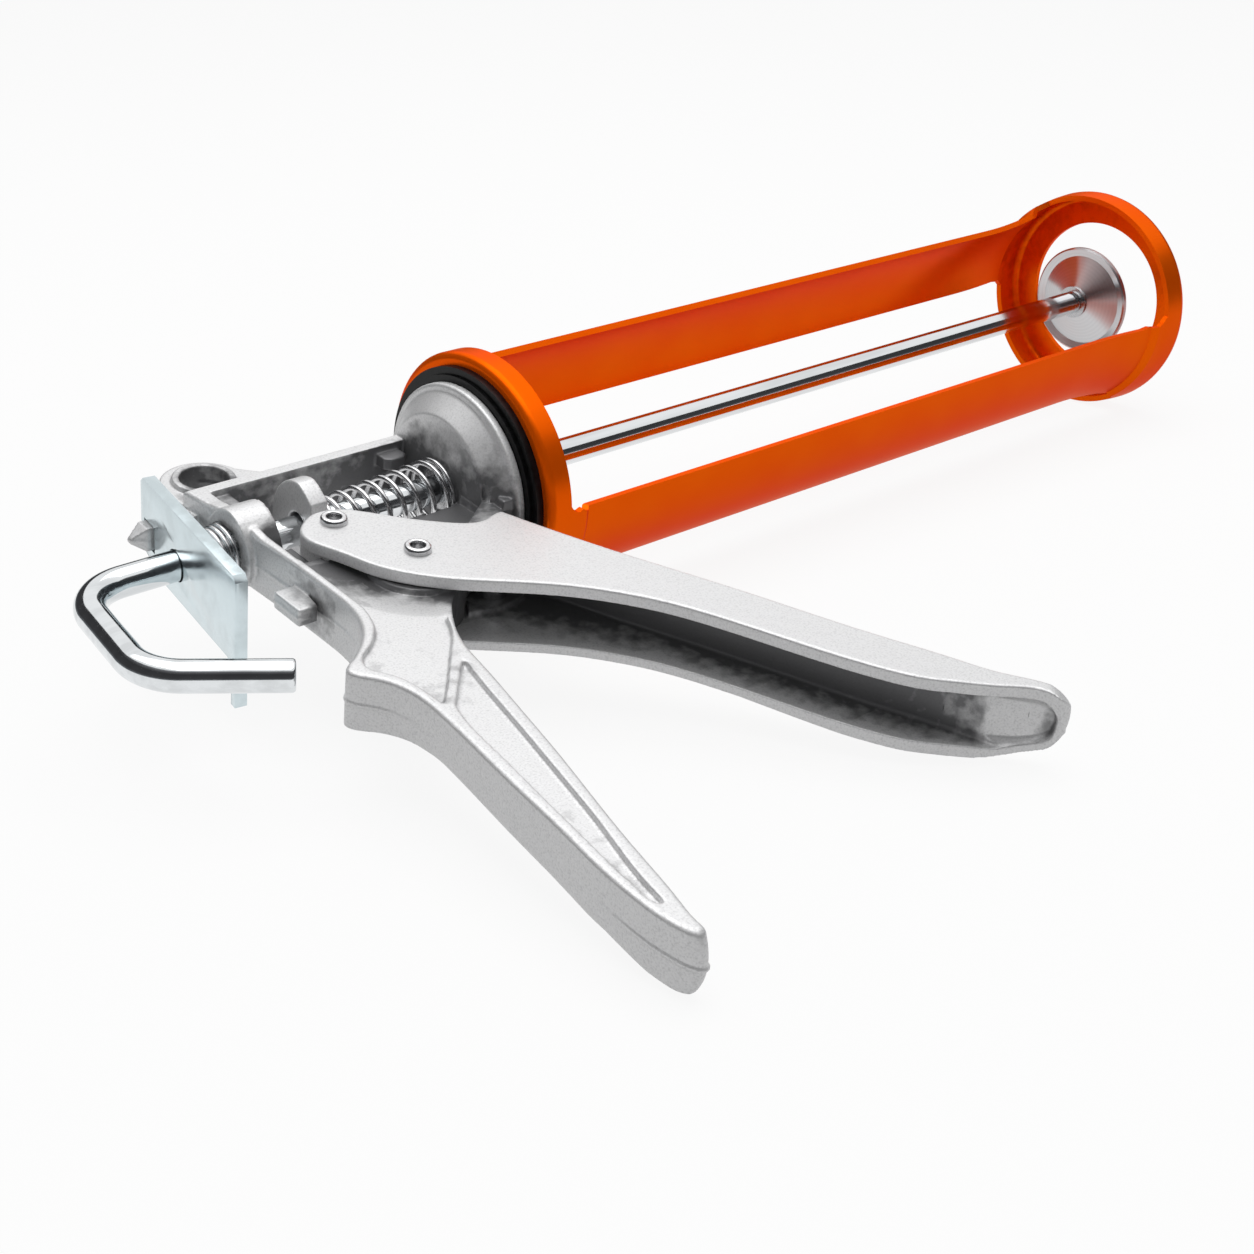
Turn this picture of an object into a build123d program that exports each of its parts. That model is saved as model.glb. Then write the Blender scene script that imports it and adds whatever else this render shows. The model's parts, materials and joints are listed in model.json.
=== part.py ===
"""Friction-drive caulking gun for 310 ml cartridges, as separate steel, rubber and cast parts.

Everything is drawn with the push rod along X (nozzle end at +X) and the handles
towards -Y, zero on the rod axis at the back face of the frame's rear collar.
At the end all nodes turn about the rod axis by the lean the gun takes when it
lies on a table, so that +Z is straight up, and the origin moves to the centre of
the nozzle opening.  Lengths are in millimetres.
"""

import os
from math import asin, atan2, cos, degrees, radians, sin, tan

from build123d import *

# ---- push rod -------------------------------------------------------------
ROD_R = 3.25                # 6.5 mm drawn bar
ROD_SHOULDER_X = 226.2      # where the full diameter stops, rod pushed fully forward
SPIGOT_R = 2.5              # turned-down front end that carries the piston
HOOK_CORNER_1 = (-97.1, 0.0)
HOOK_CORNER_2 = (-101.5, -33.5)
HOOK_TIP = (-78.6, -48.7)
HOOK_BEND_R = 11.5
ROD_END_CHAMFER = 1.0
RUN_GAP = 0.05              # radial clearance of every shaft in its hole

# ---- cradle: rear collar, two rails and front cup in one stamping ---------
SHEET = 1.5
COLLAR_R = 28.9
COLLAR_DEPTH = 5.7
CUP_R = 31.0
CUP_BACK_X = 229.5
CUP_FRONT_X = 239.0
CUP_CORNER_R = 3.5
NOZZLE_OPENING_R = 21.6
RAIL_IN_R = 25.4            # a 50 mm cartridge and 0.4 mm all round
RAIL_HALF_ANGLE = 26.2      # half the angle one rail covers round the axis
RAIL_TURN = 20.9            # how far the frame is turned from the handle plane
RAIL_JOGGLE = 5.0           # length of the step from a rail to the collar or cup

# ---- swivel joint between body and cradle ---------------------------------
SEAL_R = 26.1
SEAL_STEP_R = 24.4
SEAL_THICK = 2.5
SEAL_STEP = 0.7
HUB_R = 14.0
HUB_FRONT_X = 5.2
RETAINER_R = 20.0
RETAINER_THICK = 1.5
CLIP_R = 17.5
CLIP_THICK = 1.2
CLIP_GROOVE_R = 12.6
SWIVEL_GAP = 0.1            # end float of the turning cradle

# ---- body casting -----------------------------------------------------------
FLANGE_R = 22.9
FLANGE_EDGE_THICK = 2.2
FLANGE_CONE_R = 17.1
FLANGE_BACK_X = -9.0
EDGE_BREAK = 0.6            # broken edges of the castings
RIM_HALF = 6.6              # half the thickness of body and handle at the rims
WALL_IN_Y = 12.9            # inner face of the wall beyond the rod
WALL_OUT_Y = 16.3
CHAMBER_BACK_X = -58.9
CHAMBER_LOW_Y = -21.6
BODY_RECESS = 1.2           # depth of the shallow panel above the handle
HANDLE_RECESS = 1.1         # depth of the long pocket in the handle
BOSS_R = 8.2
BOSS_BACK_X = -62.8
BOSS_FRONT_X = -54.6
BUSH_WALL = 1.4
LEDGE_TOP_Z = 2.6
FRONT_WEB_HALF = 2.0
FRONT_RIB_HALF = 4.3
EYE_X = -53.9
EYE_Y = 23.5
EYE_HOLE_R = 5.3
EYE_RING_R = 6.85
EYE_RING_HALF = 4.1
EYE_LUG_R = 9.4
EYE_LUG_HALF = 2.9
PEG_Y = 13.5
PEG_WIDE = 4.0
PEG_HALF = 2.7
PEG_SHOULDER_X = -74.4
PEG_TIP_X = -77.6
STOP_LUG_X = -65.6
STOP_LUG_Y = (-26.1, -21.1)
STOP_LUG_HALF = 1.9

# ---- trigger ----------------------------------------------------------------
PIVOT = (-38.7, -32.4)      # main rivet the trigger swings on
DRIVE = (-46.3, -14.1)      # rivet that pushes the driving dog
TRIGGER_HALF = 8.7
CHEEK = 2.8
SPINE = 2.6
TRIGGER_REACH = 139.1       # from rod axis down to the resting tip
PIVOT_BOSS_R = 10.1
RIVET_R = 2.1
RIVET_HEAD_R = 2.85
RIVET_HEAD_H = 1.3
RIVET_HOLLOW_R = 1.45
RIVET_HOLLOW_DEEP = 2.4
SLEEVE_WALL = 1.1
WASHER_R = 4.4
TIP_END = (35.0, -140.9)    # furthest point of the squeezed end
TIP_CORNER_R = 5.0
STOP_PIN = (-22.0, -36.4)
STOP_PIN_R = 2.85
PAD_SWEEP_R = 27.0          # reach of the pad from the main rivet
PAD_GAP = 0.25
PAD_HIGH = 1.4              # cast pad round the stop pin, on the lower cheek
CHEEK_GAP = 0.3             # between body and cheek, filled by the thin washers

# ---- driving dog and springs --------------------------------------------------
DOG_BACK_X = -46.0
DOG_THICK = 4.2
DOG_R = 9.4
DOG_FLANK_Y = -5.0          # below this the dog is narrow enough to pass between the cheeks
DOG_SIDE_GAP = 0.4          # between the dog and the trigger's cheeks
DOG_FOOT_BACK_X = -51.1
DOG_FOOT_Y = (-19.7, -8.7)
DOG_SLOT_RISE = 1.7         # room for the rivet's arc across the stroke
DOG_SLOT_GAP = 0.12
SEAT_THICK = 1.0
SEAT_R = 6.2
DRIVE_WIRE_R = 0.7
DRIVE_COIL_R = (4.7, 6.9)   # at the dog and at the flange
DRIVE_TURNS = 10
RELEASE_WIRE_R = 0.6
RELEASE_COIL_R = (4.6, 5.9)
RELEASE_TURNS = 5
SPRING_GAP = 0.1

# ---- release plate ------------------------------------------------------------
PLATE_THICK = 2.6
PLATE_LEAN = 7.6            # degrees it leans back when it grips the rod
PLATE_BACK_X = -74.8        # back face of the plate on the rod axis
PLATE_TOP = 12.0             # upper edge above the rod axis
PLATE_LOW = 7.6              # lower edge below it
PLATE_PEG_END = 17.6
PLATE_THUMB_END = -28.0
PLATE_TAB_LOW = -17.6
PLATE_TAB_WIDE = 1.8
PLATE_CORNER = 1.2
PLATE_HOLE_SLACK = 0.65      # room round the peg and, less of it, round the rod


# ---- piston -------------------------------------------------------------------
PISTON_SHEET = 1.4
PISTON_FLOAT = 0.1          # end float of the disc between its washers
PISTON_FOLD_R = 12.9
PISTON_R = 15.4
PISTON_FOLD_X = 230.6
PISTON_RIM_X = 230.0
COLLAR_WASHER_R = 4.6
COLLAR_WASHER_THICK = 1.0
FRONT_WASHER_R = 4.4
FRONT_WASHER_THICK = 0.9
NUT_ACROSS = 8.0
NUT_THICK = 2.6


def plate(points, low, high):
    """Flat piece from an outline in the XY plane, between two heights."""
    face = make_face(Polyline(*points, close=True))
    return Pos(0, 0, low) * extrude(face, high - low)


def shaped_plate(runs, low, high):
    """Flat piece whose outline is a closed chain of runs of points.

    Each run starts where the one before it ends.  A run of two points is a
    straight edge, a longer one is a smooth curve through its points.
    """
    edges = []
    start = runs[-1][-1]
    for run in runs:
        points = [start] + run
        edges.append(Spline(*points) if len(points) > 2 else Line(*points))
        start = run[-1]
    return Pos(0, 0, low) * extrude(make_face(edges), high - low)


def turned(profile):
    """Solid of revolution about the rod axis from (x, radius) points."""
    face = make_face(Polyline(*profile, close=True))
    return revolve(face, Axis.X, 360)


def rod_piece(radius, x_from, x_to):
    """Round bar on the rod axis."""
    return Pos(x_from, 0, 0) * Rot(0, 90, 0) * Cylinder(
        radius, x_to - x_from, align=(Align.CENTER, Align.CENTER, Align.MIN))


def post(x, y, radius, low, high):
    """Round bar standing across the gun."""
    return Pos(x, y, low) * Cylinder(
        radius, high - low, align=(Align.CENTER, Align.CENTER, Align.MIN))


def block(x_from, x_to, y_from, y_to, z_from, z_to):
    """Rectangular block between limits."""
    centre = ((x_from + x_to) / 2, (y_from + y_to) / 2, (z_from + z_to) / 2)
    return Pos(*centre) * Box(x_to - x_from, y_to - y_from, z_to - z_from)


def cone_spring(wire_r, coil_r_back, coil_r_front, turns, x_from, x_to):
    """Tapered wire spring along X, open ended, between two limits."""
    rise = x_to - x_from - 2 * wire_r
    taper = degrees(atan2(coil_r_front - coil_r_back, rise))
    path = Helix(pitch=rise / turns, height=rise, radius=coil_r_back, cone_angle=taper)
    start = path @ 0
    section = Plane(origin=start, z_dir=path % 0) * Circle(wire_r)
    coil = sweep(section, path=path, is_frenet=True)
    return Pos(x_from + wire_r, 0, 0) * Rot(0, 90, 0) * coil


# heights across the gun that follow from the trigger's thickness
CHEEK_IN = TRIGGER_HALF - CHEEK             # inner face of each cheek
HEAD_HALF = CHEEK_IN - CHEEK_GAP            # body thickness between the cheeks, halved
DOG_HALF = CHEEK_IN - DOG_SIDE_GAP
PAD_TOP_Z = PAD_HIGH - CHEEK_IN             # upper face of the pad on the lower cheek

# =====================================================================
# body casting: flange, chamber walls, boss, eye, peg, handle
# =====================================================================
FLANGE_FRONT_X = -SEAL_THICK
flange_edge_x = FLANGE_FRONT_X - FLANGE_EDGE_THICK
flange = turned([
    (FLANGE_BACK_X, 0), (FLANGE_BACK_X, FLANGE_CONE_R), (flange_edge_x, FLANGE_R - 1.7),
    (flange_edge_x, FLANGE_R - 0.5), (flange_edge_x + 0.5, FLANGE_R),
    (FLANGE_FRONT_X, FLANGE_R), (FLANGE_FRONT_X, HUB_R), (HUB_FRONT_X, HUB_R),
    (HUB_FRONT_X, 0)])
clip_back_x = SHEET + SWIVEL_GAP + RETAINER_THICK
clip_groove = rod_piece(HUB_R + 1, clip_back_x, clip_back_x + CLIP_THICK) - rod_piece(
    CLIP_GROOVE_R, clip_back_x, clip_back_x + CLIP_THICK)

rear_edge = [
    (-61.9, 4.9), (-61.2, -7.1), (-60.6, -19.1), (-60.4, -31.1),
    (-60.6, -38.7), (-61.6, -43.6), (-64.0, -48.6), (-67.8, -52.8), (-71.2, -55.5)]
beak = [(-73.6, -57.1), (-74.2, -58.1), (-74.0, -59.7), (-71.6, -62.9)]
handle_rear = [
    (-69.3, -67.1), (-68.3, -71.6), (-68.3, -77.1), (-69.6, -90.3), (-71.0, -102.8),
    (-72.1, -114.7), (-73.5, -126.2), (-74.0, -136.7), (-73.8, -141.6)]
handle_tip = [(-73.2, -145.1), (-72.2, -147.7), (-71.0, -148.7), (-69.6, -148.3), (-69.1, -146.5)]
handle_front = [
    (-67.8, -140.5), (-65.0, -127.9), (-61.8, -114.4), (-58.0, -99.6), (-54.6, -84.4),
    (-51.4, -69.5), (-49.8, -61.9), (-47.5, -56.2), (-43.8, -50.3), (-40.0, -45.6),
    (-35.5, -41.6), (-32.0, -37.0)]
body_runs = [
    rear_edge, beak + handle_rear + handle_tip + handle_front, [(-30.0, CHAMBER_LOW_Y)],
    [(FLANGE_BACK_X + 1, CHAMBER_LOW_Y + 4)], [(FLANGE_BACK_X + 1, WALL_OUT_Y)],
    [(-63.4, WALL_OUT_Y)]]
body = shaped_plate(body_runs, -RIM_HALF, RIM_HALF)
rims = body.edges().group_by(Axis.Z)
body = chamfer(rims[0] + rims[-1], EDGE_BREAK)

# everything the trigger's cheeks sweep over stays below their inner faces
sweep_zone = post(PIVOT[0], PIVOT[1], 22.0, HEAD_HALF, RIM_HALF + 1) & block(
    -58.6, 0, -70, 0, HEAD_HALF, RIM_HALF + 1)
sweep_zone += block(-58.6, FLANGE_BACK_X + 2, -30.0, WALL_IN_Y - 4.0, HEAD_HALF, RIM_HALF + 1)
body -= sweep_zone
body -= mirror(sweep_zone, Plane.XY)
pad_sweep = post(PIVOT[0], PIVOT[1], PAD_SWEEP_R, -RIM_HALF - 1, PAD_TOP_Z + PAD_GAP) & block(
    PIVOT[0] - 3.0, FLANGE_BACK_X, -70, PIVOT[1] + 6.0, -RIM_HALF - 1, PAD_TOP_Z + PAD_GAP)
body -= pad_sweep - post(PIVOT[0], PIVOT[1], PIVOT_BOSS_R, -RIM_HALF - 2, RIM_HALF)

# chamber for rod, dog and spring, open through the body
chamber = block(CHAMBER_BACK_X + 3.0, FLANGE_BACK_X, -9.5, WALL_IN_Y, -9, 9)
chamber += block(-53.6, -29.6, CHAMBER_LOW_Y, -9, -9, 9)
chamber += block(CHAMBER_BACK_X, CHAMBER_BACK_X + 3.5, -20.0, WALL_IN_Y, LEDGE_TOP_Z, 9)
chamber += block(CHAMBER_BACK_X, CHAMBER_BACK_X + 3.5, -20.0, WALL_IN_Y, -9, -LEDGE_TOP_Z)
chamber += block(CHAMBER_BACK_X, -53.0, -20.0, -9, LEDGE_TOP_Z, 9)
chamber += block(CHAMBER_BACK_X, -53.0, -20.0, -9, -9, -LEDGE_TOP_Z)
chamber += block(-30, FLANGE_BACK_X, -24, -9, FRONT_WEB_HALF, 9)
chamber += block(-30, FLANGE_BACK_X, -24, -9, -9, -FRONT_WEB_HALF)
body -= chamber

# shallow panel above the handle and long pocket in the handle, both sides
panel = [
    [(-58.4, -21.1)],
    [(-58.2, -38.1), (-59.0, -43.4), (-61.6, -49.5), (-66.5, -54.1), (-69.6, -56.7),
     (-70.2, -59.5), (-68.0, -63.5), (-66.3, -69.5), (-66.0, -76.4)],
    [(-60.6, -70.7), (-56.0, -65.3), (-51.6, -60.2), (-49.0, -56.7), (-46.3, -50.5),
     (-43.2, -44.7), (-40.5, -41.2), (-37.0, -37.1)],
    [(-39.0, -23.1)]]
pocket = [
    [(-53.4, -65.9)],
    [(-55.8, -75.2), (-58.8, -89.3), (-62.2, -104.3), (-65.5, -118.4), (-69.0, -131.1),
     (-70.4, -138.7)],
    [(-71.2, -140.0), (-71.9, -138.7), (-71.8, -135.7)],
    [(-71.5, -130.7), (-70.2, -119.4), (-68.8, -107.5), (-67.2, -94.7), (-65.2, -80.8),
     (-64.2, -77.7)]]
for outline, depth in ((panel, BODY_RECESS), (pocket, HANDLE_RECESS)):
    cut = shaped_plate(outline, RIM_HALF - depth, RIM_HALF + 1)
    body -= cut
    body -= mirror(cut, Plane.XY)

# web and rib between the chamber and the flange, ahead of the main rivet
body += plate([(-31.0, CHAMBER_LOW_Y), (-29.6, -9.5), (FLANGE_BACK_X + 1, -8.2),
               (FLANGE_BACK_X + 1, -22.0), (-13.0, -25.0), (-19.0, -30.2), (-24.0, -34.0),
               (-27.6, -35.6), (-31.0, -37.0)], -FRONT_WEB_HALF, FRONT_WEB_HALF)
body += plate([(FLANGE_BACK_X + 1, -15.0), (FLANGE_BACK_X + 1, -22.0), (-13.0, -25.0),
               (-19.0, -30.2), (-24.0, -34.0), (-27.6, -35.6), (-33.0, -37.0),
               (-30.5, -28.0), (-24.0, -26.5), (-17.0, -21.4)], -FRONT_RIB_HALF, FRONT_RIB_HALF)
body += post(PIVOT[0], PIVOT[1], PIVOT_BOSS_R, -HEAD_HALF, HEAD_HALF)
body -= block(-53.6, -29.6, CHAMBER_LOW_Y, -9, -9, 9)
body += flange
body -= clip_groove
body += rod_piece(BOSS_R, BOSS_BACK_X, BOSS_FRONT_X)
body += block(-62.5, -54.3, 7.4, WALL_IN_Y + 1, 2.6, 5.0)
body += plate([(-16.6, WALL_IN_Y + 1), (-16.6, 9.8), (-15.4, 8.7), (-11.8, 8.7), (-10.6, 9.8),
               (-10.6, WALL_IN_Y + 1)], 2.2, 5.0)
body += block(-7.4, -3.4, -21.0, -18.6, 3.6, 6.0)

# hanging eye
eye_lug = post(EYE_X, EYE_Y, EYE_LUG_R, -EYE_LUG_HALF, EYE_LUG_HALF)
eye_lug += plate([(EYE_X - EYE_LUG_R, EYE_Y), (-63.2, WALL_OUT_Y - 1), (-33.0, WALL_OUT_Y - 1),
                  (-33.6, 16.6), (-40.0, 21.0), (-47.2, 28.2), (EYE_X, EYE_Y + 2)],
                 -EYE_LUG_HALF, EYE_LUG_HALF)
body += eye_lug
body += post(EYE_X, EYE_Y, EYE_RING_R, -EYE_RING_HALF, EYE_RING_HALF)
body -= post(EYE_X, EYE_Y, EYE_HOLE_R, -EYE_RING_HALF - 1, EYE_RING_HALF + 1)

# peg that carries the release plate, with a roof-shaped end, and the stop lug
peg_y = (PEG_Y - PEG_WIDE / 2, PEG_Y + PEG_WIDE / 2)
body += block(PEG_SHOULDER_X, -62.0, peg_y[0], peg_y[1], -PEG_HALF, PEG_HALF)
peg_end = loft([
    Plane(origin=(PEG_SHOULDER_X, PEG_Y, 0), z_dir=(-1, 0, 0)) * Rectangle(2 * PEG_HALF, PEG_WIDE),
    Plane(origin=(PEG_TIP_X, PEG_Y, 0), z_dir=(-1, 0, 0)) * Rectangle(1.2, 1.2)])
body += peg_end
body += block(STOP_LUG_X, -60.5, STOP_LUG_Y[0], STOP_LUG_Y[1], -STOP_LUG_HALF, STOP_LUG_HALF)

# bores: rod bushes and pivot sleeve
rear_bush_r = ROD_R + RUN_GAP + BUSH_WALL
sleeve_r = RIVET_R + RUN_GAP + SLEEVE_WALL
body -= rod_piece(rear_bush_r, BOSS_BACK_X - 1, BOSS_FRONT_X + 1)
body -= rod_piece(rear_bush_r, FLANGE_BACK_X - 1, HUB_FRONT_X + 1)
body -= post(PIVOT[0], PIVOT[1], sleeve_r, -HEAD_HALF - 1, HEAD_HALF + 1)

rear_bush = rod_piece(rear_bush_r, BOSS_BACK_X, BOSS_FRONT_X) - rod_piece(
    ROD_R + RUN_GAP, BOSS_BACK_X - 1, BOSS_FRONT_X + 1)
front_bush = rod_piece(rear_bush_r, FLANGE_BACK_X, HUB_FRONT_X) - rod_piece(
    ROD_R + RUN_GAP, FLANGE_BACK_X - 1, HUB_FRONT_X + 1)
pivot_sleeve = post(PIVOT[0], PIVOT[1], sleeve_r, -HEAD_HALF, HEAD_HALF) - post(
    PIVOT[0], PIVOT[1], RIVET_R + RUN_GAP, -HEAD_HALF - 1, HEAD_HALF + 1)

# =====================================================================
# swivel joint: seal, retainer washer and clip
# =====================================================================
seal_ring = turned([
    (-SEAL_THICK, HUB_R), (-SEAL_THICK, SEAL_STEP_R), (-SEAL_THICK + SEAL_STEP, SEAL_STEP_R),
    (-SEAL_THICK + SEAL_STEP, SEAL_R), (0, SEAL_R), (0, HUB_R)])
retainer_back_x = SHEET + SWIVEL_GAP
retainer_washer = rod_piece(RETAINER_R, retainer_back_x, clip_back_x) - rod_piece(
    HUB_R, retainer_back_x - 1, clip_back_x + 1)
clip_ring = rod_piece(CLIP_R, clip_back_x, clip_back_x + CLIP_THICK) - rod_piece(
    CLIP_GROOVE_R, clip_back_x - 1, clip_back_x + CLIP_THICK + 1)
clip_ring -= block(clip_back_x - 1, clip_back_x + 3, 0, CLIP_R + 1, -4.5, 4.5)

# =====================================================================
# frame: collar, rails and cup, joined edge to edge
# =====================================================================
collar_corner = 1.6
collar = turned([
    (0, HUB_R + RUN_GAP), (0, COLLAR_R - collar_corner), (collar_corner * 0.3, COLLAR_R - 0.45),
    (collar_corner, COLLAR_R), (COLLAR_DEPTH, COLLAR_R), (COLLAR_DEPTH, COLLAR_R - SHEET),
    (SHEET, COLLAR_R - SHEET), (SHEET, HUB_R + RUN_GAP)])

cup_arc_out = [
    (CUP_FRONT_X - CUP_CORNER_R + CUP_CORNER_R * sin(radians(step)),
     CUP_R - CUP_CORNER_R + CUP_CORNER_R * cos(radians(step))) for step in range(0, 91, 15)]
cup_inner_r = CUP_CORNER_R - SHEET
cup_arc_in = [
    (CUP_FRONT_X - CUP_CORNER_R + cup_inner_r * sin(radians(step)),
     CUP_R - CUP_CORNER_R + cup_inner_r * cos(radians(step))) for step in range(90, -1, -15)]
cup_rim_r = CUP_R - 0.5
cup = turned(
    [(CUP_BACK_X, cup_rim_r)] + cup_arc_out +
    [(CUP_FRONT_X, NOZZLE_OPENING_R), (CUP_FRONT_X - SHEET, NOZZLE_OPENING_R)] +
    cup_arc_in + [(CUP_BACK_X, cup_rim_r - SHEET)])

# one rail: a bent strip profile swept round its share of the circle, with a
# joggle at each end where it steps out to the collar and to the cup
rail_outer = RAIL_IN_R + SHEET
collar_in_r = COLLAR_R - SHEET
rail_profile = [
    (COLLAR_DEPTH, collar_in_r), (COLLAR_DEPTH, COLLAR_R), (COLLAR_DEPTH + 0.6, COLLAR_R),
    (COLLAR_DEPTH + 1.9, COLLAR_R - 0.5), (COLLAR_DEPTH + RAIL_JOGGLE - 1.0, rail_outer + 0.25),
    (COLLAR_DEPTH + RAIL_JOGGLE + 0.6, rail_outer),
    (CUP_BACK_X - RAIL_JOGGLE - 1.6, rail_outer), (CUP_BACK_X - RAIL_JOGGLE, rail_outer + 0.35),
    (CUP_BACK_X - 1.6, cup_rim_r - 0.4), (CUP_BACK_X, cup_rim_r), (CUP_BACK_X, cup_rim_r - SHEET),
    (CUP_BACK_X - 2.0, cup_rim_r - 0.8 - SHEET), (CUP_BACK_X - RAIL_JOGGLE + 0.3, RAIL_IN_R + 0.35),
    (CUP_BACK_X - RAIL_JOGGLE - 1.2, RAIL_IN_R), (COLLAR_DEPTH + RAIL_JOGGLE, RAIL_IN_R),
    (COLLAR_DEPTH + RAIL_JOGGLE - 1.6, RAIL_IN_R + 0.25),
    (COLLAR_DEPTH + 1.3, COLLAR_R - 0.4 - SHEET)]
rail_face = make_face(Polyline(*rail_profile, close=True))
rail = revolve(rail_face, Axis.X, 2 * RAIL_HALF_ANGLE)
rail_far = Rot(RAIL_TURN - RAIL_HALF_ANGLE, 0, 0) * rail
rail_near = Rot(RAIL_TURN - RAIL_HALF_ANGLE + 180, 0, 0) * rail

# =====================================================================
# push rod with its pull hook, piston and fixings
# =====================================================================
rod_path = FilletPolyline((ROD_SHOULDER_X, 0), HOOK_CORNER_1, HOOK_CORNER_2, HOOK_TIP,
                          radius=HOOK_BEND_R)
rod_section = Plane(origin=(ROD_SHOULDER_X, 0, 0), z_dir=(-1, 0, 0)) * Circle(ROD_R)
push_rod = sweep(rod_section, path=rod_path)
tip_face = push_rod.faces().sort_by(Axis.Y)[0]
push_rod = chamfer(tip_face.edges(), ROD_END_CHAMFER)

piston_back_x = ROD_SHOULDER_X + COLLAR_WASHER_THICK
piston_front_x = piston_back_x + PISTON_SHEET
piston_disc = turned([
    (piston_back_x, SPIGOT_R + RUN_GAP), (piston_back_x, COLLAR_WASHER_R),
    (PISTON_FOLD_X, PISTON_FOLD_R), (PISTON_RIM_X, PISTON_R - 0.5), (PISTON_RIM_X + 0.3, PISTON_R),
    (PISTON_RIM_X + PISTON_SHEET, PISTON_R), (PISTON_RIM_X + PISTON_SHEET + 0.3, PISTON_R - 0.5),
    (PISTON_FOLD_X + PISTON_SHEET + 0.2, PISTON_FOLD_R + 0.1),
    (piston_front_x, FRONT_WASHER_R), (piston_front_x, SPIGOT_R + RUN_GAP)])
collar_washer = rod_piece(COLLAR_WASHER_R, ROD_SHOULDER_X, piston_back_x) - rod_piece(
    SPIGOT_R, ROD_SHOULDER_X - 1, piston_back_x + 1)
nut_back_x = piston_front_x + PISTON_FLOAT + FRONT_WASHER_THICK
front_washer = rod_piece(
    FRONT_WASHER_R, piston_front_x + PISTON_FLOAT, nut_back_x) - rod_piece(
    SPIGOT_R, piston_front_x - 1, nut_back_x + 1)
nut_face = Plane(origin=(nut_back_x, 0, 0), z_dir=(1, 0, 0)) * RegularPolygon(
    NUT_ACROSS / 2, 6, major_radius=False)
end_nut = extrude(nut_face, NUT_THICK) - rod_piece(SPIGOT_R, nut_back_x - 1, nut_back_x + 5)
push_rod += rod_piece(SPIGOT_R, ROD_SHOULDER_X - 0.5, nut_back_x + NUT_THICK + 0.8)

# =====================================================================
# trigger, rivets, sleeves and washers
# =====================================================================
trigger_back = [
    (-54.6, -14.1), (-55.0, -17.3), (-53.6, -21.7), (-51.6, -26.7), (-49.9, -31.7),
    (-46.3, -37.7), (-41.0, -43.5), (-32.1, -50.5), (-19.9, -60.5), (-14.6, -66.4),
    (-9.7, -73.1), (-5.6, -80.5), (-2.2, -87.9), (4.2, -102.9), (10.4, -115.5), (14.1, -121.1),
    (19.1, -126.1), (25.1, -131.5), (30.8, -136.5)]
trigger_tip = [(31.8, -138.7), (32.6, -140.7), (34.0, -140.9), (35.0, -139.7), (34.8, -137.5)]
trigger_front = [
    (28.9, -127.7), (25.6, -120.5), (17.1, -101.9), (10.6, -86.1), (3.8, -70.1), (-3.5, -53.9),
    (-10.4, -36.5), (-13.5, -27.7)]
trigger_head = [
    (-15.7, -27.7), (-18.8, -28.7), (-21.4, -28.5), (-23.9, -27.3), (-27.4, -24.6),
    (-34.6, -17.4), (-40.2, -11.1), (-42.4, -9.5), (-45.8, -8.6), (-48.4, -8.8), (-50.9, -10.0),
    (-53.0, -11.7)]
trigger = shaped_plate([trigger_back + trigger_tip + trigger_front, trigger_head],
                       -TRIGGER_HALF, TRIGGER_HALF)
rims = trigger.edges().group_by(Axis.Z)
trigger = chamfer(rims[0] + rims[-1], EDGE_BREAK / 2)

# the squeezed end is rounded across the lever as well
tip_turn = degrees(atan2(trigger_tip[2][1] - trigger_back[-4][1], trigger_tip[2][0] - trigger_back[-4][0]))
corner_z = TRIGGER_HALF - TIP_CORNER_R
corner = block(-TIP_CORNER_R, 3, -20, 20, corner_z, TRIGGER_HALF + 1)
corner -= Pos(-TIP_CORNER_R, 0, corner_z) * Rot(90, 0, 0) * Cylinder(TIP_CORNER_R, 50)
corner = Pos(TIP_END[0], TIP_END[1], 0) * Rot(0, 0, tip_turn) * corner
trigger -= corner
trigger -= mirror(corner, Plane.XY)

# hollow between the cheeks: open at the back and round the head, closed by the
# spine along the front edge and at the tip
spine_inner = [(x - SPINE * 0.92, y - SPINE * 0.38) for x, y in trigger_front]
hollow = [(-59.0, -4.1), (-61.0, -29.1), (-51.0, -47.1), (-23.1, -71.1), (0.9, -111.1),
          (10.9, -125.1), (24.9, -138.1), (26.6, -136.5), (27.6, -132.1)] + spine_inner + [
          (-17.4, -26.0), (-20.0, -26.0), (-24.0, -22.0), (-40.0, -5.0)]
trigger -= plate(hollow, -CHEEK_IN, CHEEK_IN)
trigger += post(STOP_PIN[0], STOP_PIN[1], STOP_PIN_R, -CHEEK_IN - 0.5, CHEEK_IN + 0.5)
pad = plate([(-33.0, -39.3), (-29.6, -36.1), (-28.6, -30.7), (-23.9, -27.3), (-16.4, -28.3),
             (-14.6, -33.1), (-14.5, -37.7), (-16.4, -40.1), (-20.2, -41.3), (-26.1, -41.1)],
            -CHEEK_IN - 0.5, -CHEEK_IN + PAD_HIGH)
trigger += pad - post(PIVOT[0], PIVOT[1], PIVOT_BOSS_R + 0.6, -20, 20)
for x, y in (PIVOT, DRIVE):
    trigger -= post(x, y, RIVET_R, -TRIGGER_HALF - 1, TRIGGER_HALF + 1)


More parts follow.
